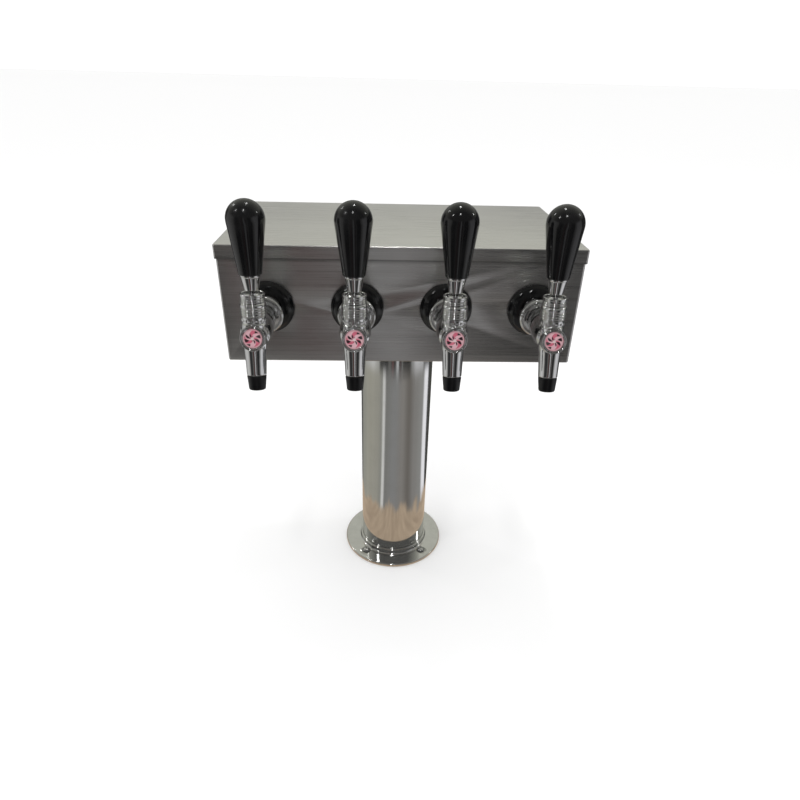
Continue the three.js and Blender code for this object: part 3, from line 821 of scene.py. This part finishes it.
box = folded_tray("tower_box", box_low, box_high, True, 3, 2, 1.2, 12)
at_face = [Matrix.Translation((x, face_y, shank_z)) @ forward for x in faucets.values()]
SHANK_HOLE_R = 11.3
holes = [rod(SHANK_HOLE_R, -4, 4, 64, spot) for spot in at_face]
under, over = box_low.z / MM - 2, box_low.z / MM + 4
holes.append(rod(PASSAGE_R, under, over, 96, at_column))
holes += [rod(HEAD_HOLE_R, under, over, 32, at_column @ spot) for spot in head_holes]
cut(box, *holes)
soften(box, 0.25, 2, 50)
hand_over(smooth(box, 32), brushed, "brushed_sheet", "tower", "box_body")
print("box", [round(v, 4) for v in box_high - box_low], "faces", len(box.data.polygons))

# %% [markdown]
# ## Lid
# A shallow tray turned over. Its skirt is folded down on four sides and left unwelded, so a
# hair-thin slit shows at each corner. The slits are cut with thin blocks set in the side
# walls, where the end flaps meet the long ones.

# %% Lid
lid = folded_tray("tower_lid", lid_low, lid_high, False, 2.6, 1.9, 1.1, 0)
slits = []
for side_x in (-1, 1):
    for side_y in (-1, 1):
        x = (lid_high.x - 1.2 * MM) * side_x / MM
        edge_y = lid_high.y if side_y > 0 else lid_low.y
        y = edge_y / MM - 2.7 * side_y
        foot = lid_low.z / MM
        slits.append(slab((x - 3, y - 0.2, foot - 1), (x + 3, y + 0.2, foot + 12)))
cut(lid, *slits)
soften(lid, 0.2, 2, 50)
hand_over(smooth(lid, 32), brushed, "brushed_sheet", "lid", "box_lid")
print("lid", [round(v, 4) for v in lid_high - lid_low], "faces", len(lid.data.polygons))

# %% [markdown]
# # One faucet, made once and copied
# ## Wall flange
# The black bell that covers the hole in the box. It is moulded: a thin foot, a long convex
# curve and a flat nose that the shank's collar presses on.

# %% Wall flange
bell = ring("wall_bell", [
    (11.35, 0.4), (27.5, 0.4), (27.5, 0.3), (29.4, 0.3),
    *arc((29.3, 0.9), 0.6, -90, 0, 4),
    (29.9, 1.9), *arc((29.2, 2.2), 0.7, 0, 50, 4),
    (28.2, 4.9), (26.6, 6.9), (24.5, 8.6), (22.2, 9.9), (20.2, 10.7),
    (18.6, 11.15), (17.6, 11.2), *arc((12.4, 10.2), 1.0, 90, 180, 5),
], 128)
faucet_piece(bell, bore_line, 40, gloss_black, "gloss_black", node="wall_flange_")

# %% [markdown]
# ## Shank and lock nut
# The shank is a threaded steel tube through the wall, with a tail for the hose. Its thread
# is drawn as a row of small ridges: at this size a true helix looks no different. The lock
# nut pulls it tight from inside, over a toothed washer.


# %% Shank, washer and lock nut
def thread(start, end, radius, pitch, depth):
    turns = round((end - start) / pitch)
    step = (end - start) / turns
    points = [(radius - depth, start)]
    for i in range(turns):
        points.append((radius, start + (i + 0.5) * step))
        points.append((radius - depth, start + (i + 1) * step))
    return points


shank = ring("shank_tube", [
    (2.4, -64), (4.2, -64), (5.4, -58), (4.4, -57.7), (4.4, -54.5), (5.2, -51.2), (4.4, -50.9),
    (4.4, -46), (10, -46), *thread(-45, 10.6, 11, 1.8, 0.7), (11, 11.5), (15.6, 11.5),
    (16, 11.9), (16, 13.0), (15.7, 13.3), (13.4, 13.3), *thread(13.6, 23.2, 14, 1.6, 0.6),
    (13.4, 24), (11, 24), (11, 15), (2.4, 15),
], 64)
faucet_piece(shank, bore_line, 30, plain_steel, "plain_steel", node="shank_")

washer = ring("tooth_washer", [(11.4, -2.4), (16.6, -2.4), (16.6, -1.55), (11.4, -1.55)], 48)


def is_tooth(face):
    sector = int(math.degrees(math.atan2(face.center.y, face.center.x)) % 360 / 7.5)
    return face.center.xy.length > 16.2 * MM and sector % 3 == 0


faces_where(washer, is_tooth)
bpy.ops.mesh.inset(thickness=0.1 * MM, use_individual=True)
bpy.ops.mesh.extrude_faces_move(TRANSFORM_OT_shrink_fatten={"value": 1.2 * MM})
bpy.ops.object.mode_set(mode="OBJECT")
faucet_piece(washer, bore_line, 25, plain_steel, "plain_steel")

NUT_BACK, NUT_DEEP = -9.5, 6.9
bpy.ops.object.select_all(action="DESELECT")
bpy.ops.mesh.primitive_cylinder_add(
    vertices=6, radius=18 * MM, depth=NUT_DEEP * MM,
    location=(0, 0, (NUT_BACK + NUT_DEEP / 2) * MM))
hexagon = bpy.context.object
hexagon.name = "shank_lock_nut"
bpy.ops.object.transform_apply(location=True, rotation=True, scale=True)
crown = turned("crown", [
    (0, NUT_BACK - 1), (14.6, NUT_BACK - 1), (18.2, NUT_BACK + 1.1),
    (18.2, NUT_BACK + NUT_DEEP - 1.1), (14.6, NUT_BACK + NUT_DEEP + 1),
    (0, NUT_BACK + NUT_DEEP + 1)], 72)
cut(hexagon, crown, operation="INTERSECT")
cut(hexagon, rod(11.2, NUT_BACK - 1, NUT_BACK + NUT_DEEP + 1, 64))
soften(hexagon, 0.25, 2, 30)
faucet_piece(hexagon, bore_line, 30, plain_steel, "plain_steel", node="lock_nut_")

# %% [markdown]
# ## Coupling nut
# The big ring nut that draws the faucet on to the shank. It has a thin round bead at the
# front and notches for a hook spanner behind. The dish inside the bead is what makes the
# bright ring stand out. The notches are cut by blocks turned round the nut.

# %% Coupling nut
nut = ring("ring_nut", [
    (14.35, 13.8), (14.6, 13.6), (19.4, 13.6), (20.0, 14.2), (20.0, 23.2), (19.4, 23.9),
    (19.4, 24.7),
    *arc((20.1, 26.5), 1.1, -70, 60, 8),
    (20.3, 28.3), (19.7, 29.0), (19.1, 29.2), (18.6, 28.9),
    *arc((16.9, 29.6), 1.9, -20, -120, 6),
    (14.9, 28.9), (14.1, 29.2), (13.2, 28.9), (13.2, 27.2), (14.35, 27.2),
], 128)
blocks = []
for i in range(6):
    around = Matrix.Rotation(math.radians(30 + 60 * i), 4, "Z")
    blocks.append(slab((18.0, -2.2, 12), (25, 2.2, 21.2), around))
cut(nut, *blocks)
soften(nut, 0.25, 2, 35)
faucet_piece(nut, bore_line, 35, chrome, "faucet_chrome", node="coupling_nut_")

# %% [markdown]
# ## Faucet body
# The body is a chromed brass casting: a barrel that runs forward, a neck that stands up, a
# boss for the badge and a spout that hangs down, all blended into each other. The turned
# parts are joined into one object that still overlaps itself, with the raised leaves round
# the neck. A voxel remesh melts all of it into one skin. Then the passages are cut, and no
# cutter shares a face with what it cuts, because a boolean is unsure of such a face. A
# second remesh and a Smooth round the corners as casting and polishing do.

# %% Faucet body
SPOUT_END = -60.7
barrel = settle(turned("faucet_casting", [
    (0, 24.3), (13.9, 24.3), (13.9, 26.9), (12.9, 26.9), (12.9, 31), (13.6, 35),
    (14.4, 40), (15.4, 49), (16.2, 58), (16.6, 66), (16.3, 74), (15, 81.5),
    *arc((3, 79), 11.2, 15, 90, 6)[1:], (0, 90.4)], 72), bore_line)
neck_post = rod(12.4, -34, -14.4, 64, lever_line)
collar_post = rod(11.3, -20, -7.5, 64, lever_line)
spout = settle(turned("spout", [
    (0, SPOUT_END - 6), (7.8, SPOUT_END - 6), (7.8, SPOUT_END), (9.7, SPOUT_END),
    (10, SPOUT_END + 0.5), (10.35, -52), (10.9, -42), (11.6, -33), (12.6, -26),
    (13.1, -18), (12.8, -8), (0, -8)], 72), spout_line)
boss = rod(12.5, 0, 12.3, 72, badge_line)


def leaf(turn_to, rise, length, wide, lean):
    """A raised lozenge on the neck, as a twelve-sided bead drawn out to two points."""
    bpy.ops.object.select_all(action="DESELECT")
    bpy.ops.mesh.primitive_uv_sphere_add(segments=12, ring_count=8, radius=MM)
    bead = bpy.context.object
    bead.scale = (1.25, wide, length)
    line = lever_line @ Matrix.Rotation(turn_to, 4, "Z")
    line = line @ Matrix.Translation((12.5 * MM, 0, rise * MM))
    bead.matrix_world = line @ Matrix.Rotation(lean, 4, "X") @ bead.matrix_world
    bpy.ops.object.transform_apply(location=True, rotation=True, scale=True)
    return bead


leaves = []
for i in range(12):
    around = math.radians(30 * i)
    leaves.append(leaf(around, -17.8, 2.6, 1.2, math.radians(38)))
    leaves.append(leaf(around + math.radians(15), -17.8, 2.6, 1.2, math.radians(-38)))
    leaves.append(leaf(around + math.radians(7.5), -21.0, 0.95, 0.95, 0))
choose(barrel, neck_post, collar_post, spout, boss, *leaves)
bpy.ops.object.join()


def melt(piece, voxel):
    return apply_all(modify(piece, "REMESH", mode="VOXEL", voxel_size=voxel * MM))


melt(barrel, 0.5)
print("one skin:", len(barrel.data.polygons), "faces")

spot_face = rod(13.2, 11.1, 24, 72, badge_line)
valve = rod(8.5, 23, 86, 48, bore_line)
chamber = rod(11, 23, 38, 48, bore_line)
finger_way = settle(turned("way", [(0, -33), (10, -33), (10, -17), (6.6, -7), (0, -7)], 48),
                    lever_line)
slot = slab((-3.9, 0, 62.9), (3.9, 14, 80.5), bore_line)
outlet = rod(6.3, SPOUT_END - 8, -16, 48, spout_line)
cut(barrel, spot_face, valve, chamber, finger_way, slot, outlet)

melt(barrel, 0.55)
apply_all(modify(barrel, "SMOOTH", factor=0.5, iterations=7))
choose(barrel)
bpy.ops.object.shade_smooth()
on_each_faucet(barrel, chrome, "faucet_chrome", node="faucet_body_")

# %% [markdown]
# ## Spout tip
# A dull black sleeve pushed over the end of the spout. It tapers slightly, and its lower
# edge is well rounded.

# %% Spout tip
TIP_END = SPOUT_END - 15.3
tip = ring("tip_sleeve", [
    (6.3, TIP_END + 0.5), (6.6, TIP_END), (6.7, TIP_END),
    *arc((6.8, TIP_END + 1.8), 1.8, -90, -4, 8),
    (9.2, TIP_END + 8), (9.85, SPOUT_END - 1.2), (9.75, SPOUT_END - 0.4), (8.15, SPOUT_END - 0.4),
    (8.15, SPOUT_END - 6.4), (6.3, SPOUT_END - 6.4),
], 96)
faucet_piece(tip, spout_line, 35, tip_black, "tip_black", node="spout_tip_")

# %% [markdown]
# ## Badge
# A chromed bezel with a double ring, and a printed disc under a clear dome inside it. The
# disc gets a flat UV map from its own round shape while it still lies at the origin, so
# that all four prints sit the same way up.

# %% Badge
BADGE_BACK, BADGE_FRONT = 11.4, 14.0
bezel = ring("badge_bezel", [
    (9.9, BADGE_BACK), (12.3, BADGE_BACK), (12.7, BADGE_BACK + 0.4),
    (12.7, BADGE_FRONT - 0.7), *arc((12.15, BADGE_FRONT - 0.55), 0.55, 0, 160, 8),
    (11.4, BADGE_FRONT - 0.75), *arc((10.85, BADGE_FRONT - 0.5), 0.45, 10, 170, 6),
    (10.3, BADGE_FRONT - 0.9), (9.9, BADGE_FRONT - 1.0),
], 96)
faucet_piece(bezel, badge_line, 35, chrome, "faucet_chrome", node="badge_")

PRINT_R = 10.25
disc = turned("badge_disc", [
    (0, BADGE_BACK + 0.3), (9.7, BADGE_BACK + 0.3), (9.7, BADGE_FRONT - 0.95),
    *arc((0, BADGE_FRONT - 45.6), 45.0, 77.6, 90, 8)[1:],
], 72)
layer = disc.data.uv_layers.new(name="badge")
for loop in disc.data.loops:
    spot = disc.data.vertices[loop.vertex_index].co
    layer.data[loop.index].uv = (0.5 + 0.47 * spot.x / (PRINT_R * MM),
                                 0.5 + 0.47 * spot.y / (PRINT_R * MM))
faucet_piece(disc, badge_line, 35, badge_ink, "badge_print")


# %% [markdown]
# ## Bonnet and its collar
# Two ribbed rings hold the lever's ball. The ribs are turned, so they belong in the
# outline: a small loop adds a rounded ridge for each. Above the ribs each ring swells into
# a smooth band that catches the light.


# %% Bonnet and collar
def ribs(start, count, pitch, radius, depth):
    points = []
    for i in range(count):
        low = start + i * pitch
        points += [(radius - depth, low), (radius - depth * 0.2, low + pitch * 0.2),
                   (radius, low + pitch * 0.42), (radius - depth * 0.2, low + pitch * 0.64),
                   (radius - depth, low + pitch * 0.86)]
    return points


bonnet = ring("bonnet_nut", [
    (11.65, -13.8), (12.0, -14.0), (12.4, -14.0),
    *ribs(-13.7, 3, 2.6, 13.2, 1.1),
    (12.6, -5.8), *arc((10.2, -3.3), 3.2, -42, 62, 9),
    (11.4, -0.25), (9.9, -0.25), (9.9, -5), (11.65, -7),
], 96)
faucet_piece(bonnet, lever_line, 40, chrome, "faucet_chrome", node="bonnet_")

collar = ring("bonnet_collar", [
    (9.9, 0), (11.0, 0),
    *ribs(0.1, 2, 2.15, 12.2, 0.9),
    (11.8, 4.6), *arc((10.9, 6.9), 1.5, -55, 10, 6),
    *arc((11.75, 7.75), 0.65, 0, 150, 6), (11.3, 7.7),
    (11.3, 5.1), (10.4, 4.9), (8.8, 4.75), (8.8, 4.5), (9.9, 1.5),
], 96)
faucet_piece(collar, lever_line, 40, chrome, "faucet_chrome")

# %% [markdown]
# ## Lever, ferrule and handle
# The lever is one bar: a finger with a round tip below, the ball it turns on, a short stem
# and a threaded stud. The ferrule is a small cone that seats the handle. The handle is a
# taper that runs smoothly into a round head. The taper must meet the head's circle at a
# tangent, and one formula gives the angle where it does.

# %% Lever, ferrule and handle
lever = turned("lever_bar", [
    *arc((0, -25), 3, -90, 45, 8), (2.2, -21), (2.5, -12),
    *arc((0, 0), 9.5, -74, 54, 18), (5.5, 8.1), (5.4, 8.5), (5.4, 9.5), (5.0, 9.9),
    (4.4, 9.9), (4.4, 26), *thread(27, 46, 4.5, 1.4, 0.4), (3.6, 46.9), (0, 46.9),
], 64)
faucet_piece(lever, lever_line, 35, chrome, "faucet_chrome", "lever_arm_", "lever_")

ferrule = ring("handle_ferrule", [
    (4.8, 10.5), (5.1, 10.2), (6.1, 10.2), (6.7, 10.6), (6.9, 11.2), (7.1, 12.2),
    (9.6, 24.4), (9.8, 25.2), (10.2, 25.7), (10.2, 26.8), (9.9, 27.1), (5.1, 27.1), (4.8, 26.8),
], 96)
faucet_piece(ferrule, lever_line, 30, chrome, "faucet_chrome", "lever_arm_", "ferrule_")

HEAD_H, HEAD_R, FOOT_R = 79.0, 18.6, 11.6
run = HEAD_H - 28.4
lean_in = math.asin((HEAD_R - FOOT_R) / run)
handle = turned("tap_handle", [
    (0, 48), (4.8, 48), (4.8, 27.7), (5.1, 27.4), (10.8, 27.4),
    *arc((10.8, 28.2), 0.8, -90, -8, 5),
    *arc((0, HEAD_H), HEAD_R, -math.degrees(lean_in), 90, 26),
], 96)
faucet_piece(handle, lever_line, 40, gloss_black, "gloss_black", "lever_arm_", "handle_")

# %% [markdown]
# ## Valve shaft
# Inside the barrel, the finger's tip works in a slot near the front of the valve shaft.
# Pulling the handle forward pushes the shaft back, and its rubber seal leaves the seat.

# %% Valve shaft
tip_forward = (face_y - pivot.y) / MM + 25 * math.sin(LEVER_LEAN)
shaft = turned("valve_shaft", [
    (0, 29.2), (5.4, 29.2), (6, 29.8), (6, 33.4), (9.6, 33.4), (9.6, 33.9), (3, 33.9),
    (3, tip_forward - 5.25), (7.8, tip_forward - 5.25), (8.1, tip_forward - 4.9),
    (8.1, tip_forward + 4.9), (7.8, tip_forward + 5.25), (0, tip_forward + 5.25),
], 64)
cut(shaft, slab((-20, 4.4, tip_forward - 3.35), (20, 20, tip_forward + 3.35)),
    slab((6, -20, tip_forward - 7), (20, 20, tip_forward + 7)),
    slab((-20, -20, tip_forward - 7), (-6, 20, tip_forward + 7)))
soften(shaft, 0.2, 2, 35)
faucet_piece(shaft, bore_line, 35, plain_steel, "plain_steel", "valve_", "plunger_")
valve_seal = ring("valve_seal", [
    (3.1, 34.1), (9.4, 34.1), *arc((9.4, 35.9), 0.6, -60, 60, 5), (9.3, 37.7), (3.1, 37.7),
], 64)
faucet_piece(valve_seal, bore_line, 35, rubber, "tip_black", "valve_")

# %% [markdown]
# # Setting
# ## What the metal sees
# Polished metal is only as good as what it mirrors, so the setting matters as much as the
# finish. A product photographer puts strips of card round the object, and the same is done
# here: mirror rays see a room of upright bands, light and dark, and other rays see only a
# plain pale studio. The bands are a colour ramp over the angle round the column, where 0
# is straight in front. The polished column looks down at the near floor, and the box and
# the faucets look out at the far floor, so each of the two has a set of bands. The far set
# also serves the surroundings, so that it runs on from the one into the other. Its front is
# dimmed as a whole, by one factor. A colour ramp holds 32 stops at most.

# %% Bands of the room
FRONT_REACH, FRONT_DIMMING = 38, 0.62
NEAR_BANDS = [
    (-180, 0.1), (-146, 0.1), (-132, (0.36, 0.36, 0.32)), (-95, (0.44, 0.43, 0.37)),
    (-60, (0.42, 0.41, 0.36)), (-46, (0.34, 0.34, 0.31)), (-42, (0.8, 0.8, 0.78)),
    (-37, (0.75, 0.75, 0.74)), (-33, (0.26, 0.26, 0.25)), (-5, 0.3), (20, (0.3, 0.285, 0.27)),
    (40, (0.2, 0.185, 0.17)), (62, (0.3, 0.29, 0.28)), (92, (0.34, 0.34, 0.33)),
    (102, (1.1, 1.1, 1.15)), (116, (1.1, 1.1, 1.15)), (122, 0.08), (148, (0.07, 0.07, 0.06)),
    (180, 0.1),
]
FAR_BANDS = [
    (-180, (0.3, 0.3, 0.29)), (-150, (0.3, 0.3, 0.29)), (-138, 0.05), (-124, 0.05),
    (-114, (0.5, 0.5, 0.49)), (-80, (0.7, 0.7, 0.69)), (-60, (0.5, 0.5, 0.48)), (-52, 0.06),
    (-34, 0.05), (-22, (0.24, 0.24, 0.23)), (-17, (0.13, 0.11, 0.11)),
    (-13.5, (0.28, 0.13, 0.13)), (-9.5, (0.07, 0.06, 0.055)), (-5, 0.12), (-2, (0.8, 0.81, 0.82)),
    (0.5, (1.1, 1.12, 1.14)), (3, (1.0, 1.01, 1.03)), (5.5, 0.08), (9.5, (0.14, 0.09, 0.09)),
    (12.5, 0.08), (14.5, 0.5), (17, (0.12, 0.12, 0.11)), (21, 0.06), (38, 0.05), (48, 0.4),
    (60, (0.75, 0.75, 0.77)), (84, (0.65, 0.65, 0.67)), (96, 0.08), (138, 0.05),
    (150, (0.3, 0.3, 0.29)), (180, (0.3, 0.3, 0.29)),
]


def bands_group(name, bands, front_gain=1.0):
    group, entry, leave = new_group(
        name, [("Place", "NodeSocketVector", (0, 0, 0))], ["Colour"], "NodeSocketColor")
    parts = parts_of(group, entry.outputs["Place"])
    round_turn = sums(group, "ARCTAN2", parts["X"], times(group, parts["Y"], -1))
    strip = group.nodes.new("ShaderNodeValToRGB")
    strip.color_ramp.interpolation = "EASE"
    stops = strip.color_ramp.elements
    while len(stops) < len(bands):
        stops.new(0.5)
    for stop in stops:
        stop.position = 0.0
    for stop, (degrees, colour) in zip(reversed(list(stops)), reversed(bands)):
        stop.position = degrees / 360 + 0.5
    for stop, (degrees, colour) in zip(stops, bands):
        gain = front_gain if abs(degrees) <= FRONT_REACH else 1
        tones = colour if isinstance(colour, tuple) else (colour,) * 3
        stop.color = (*[gain * tone for tone in tones], 1)
    link(group, ramp(group, round_turn, -math.pi, math.pi), strip.inputs["Fac"])
    link(group, strip.outputs["Color"], leave.inputs["Colour"])
    print(name, len(stops), "stops")
    return group


def bands_at(tree, group, place):
    node = tree.nodes.new("ShaderNodeGroup")
    node.node_tree = group
    link(tree, place, node.inputs["Place"])
    return node.outputs["Colour"]


def eye_and_mirror(tree, seen, mirrored, output):
    """Gives the output one shader for the eye, and another for mirror rays."""
    rays = tree.nodes.new("ShaderNodeLightPath")
    mixed = tree.nodes.new("ShaderNodeMixShader")
    link(tree, rays.outputs["Is Glossy Ray"], mixed.inputs["Fac"])
    link(tree, seen, mixed.inputs[1])
    link(tree, mirrored, mixed.inputs[2])
    link(tree, mixed.outputs["Shader"], tree.nodes[output].inputs["Surface"])


near_bands = bands_group("near_bands", NEAR_BANDS)
far_bands = bands_group("far_bands", FAR_BANDS, FRONT_DIMMING)

# %% [markdown]
# ## Floor
# The floor is plain and pale to the eye. Its mirror image is another matter: near the foot
# it answers with the warm brown of a wooden counter, and further out with the bands.


# %% Floor
def floor_material():
    material, tree, shader = new_material("pale_floor", 0, (0.89, 0.89, 0.89), 0.9)
    place = object_coordinates(tree)
    distance = length_of(tree, place)
    mirrored = blend_colours(tree, ramp(tree, distance, 0.69, 0.75),
                             bands_at(tree, near_bands, place), bands_at(tree, far_bands, place))
    ragged = times(tree, noise(tree, place, 11.0, detail=3.0), 0.12)
    past_wood = ramp(tree, plus(tree, distance, ragged), 0.215, 0.235)
    grain = noise(tree, object_coordinates(tree, scale=(9, 2.5, 1)), 5.0, detail=4.0)
    wood = blend_colours(tree, ramp(tree, grain, 0.3, 0.7),
                         (0.44, 0.34, 0.25), (0.62, 0.49, 0.36))
    glow = tree.nodes.new("ShaderNodeEmission")
    link(tree, blend_colours(tree, past_wood, wood, mirrored), glow.inputs["Color"])
    eye_and_mirror(tree, shader.outputs["BSDF"], glow.outputs["Emission"], "Material Output")
    return material


bpy.ops.object.select_all(action="DESELECT")
bpy.ops.mesh.primitive_plane_add(size=120, location=(0, column_y, cad_low.z))
floor = bpy.context.object
floor.name = "floor"
floor.data.materials.append(floor_material())
print("floor at", round(cad_low.z, 4))


# %% [markdown]
# ## Surroundings
# The sky is handled as the floor is: white to the eye, and bands for mirror rays. Higher up
# the bands give way to a ceiling, which is darker in front of the tower than behind it.


# %% Surroundings
def surroundings():
    world = bpy.data.worlds.new("studio")
    bpy.context.scene.world = world
    world.use_nodes = True
    tree = world.node_tree
    seen = tree.nodes["Background"]
    seen.inputs["Color"].default_value = (1, 1, 1, 1)
    seen.inputs["Strength"].default_value = 1.16
    outward = tree.nodes.new("ShaderNodeTexCoord").outputs["Generated"]
    parts = parts_of(tree, outward)
    behind = ramp(tree, parts["Y"], -0.3, 0.5)
    ceiling = blend_colours(tree, behind, (0.15, 0.15, 0.145), (0.58, 0.585, 0.52))
    height = ramp(tree, parts["Z"], 0.22, 0.36)
    tone = blend_colours(tree, height, bands_at(tree, far_bands, outward), ceiling)
    mirrored = tree.nodes.new("ShaderNodeBackground")
    link(tree, tone, mirrored.inputs["Color"])
    eye_and_mirror(tree, seen.outputs["Background"], mirrored.outputs["Background"],
                   "World Output")


surroundings()


# %% [markdown]
# ## Lamps
# Small ceiling lamps give the sharp white points on the handles and the chrome. Each is
# placed by its direction from the handles, at one height, like a real ceiling grid.

# %% Lamps
CEILING, LAMP_POWER = 2.0, 5
handle_low, handle_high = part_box("handle_2")
from_here = Vector((0, (handle_low.y + handle_high.y) / 2, handle_high.z))
LAMPS = {
    "back_left": (-2.26, 1.54), "back": (0.06, 0.71), "front_left": (-1.9, -0.8),
    "front": (-0.12, -1.16), "back_right": (3.4, 0.7),
}
for name, (x, y) in LAMPS.items():
    data = bpy.data.lights.new(name, "AREA")
    data.shape = "RECTANGLE"
    data.size, data.size_y = 0.1, 0.42
    data.energy = LAMP_POWER
    lamp = bpy.data.objects.new(name, data)
    bpy.context.scene.collection.objects.link(lamp)
    lamp.location = from_here + Vector((x, y, CEILING))
    lamp.rotation_euler = (from_here - lamp.location).to_track_quat("-Z", "Y").to_euler()
bpy.context.scene.view_settings.view_transform = "Standard"
print("lamps", len(LAMPS))
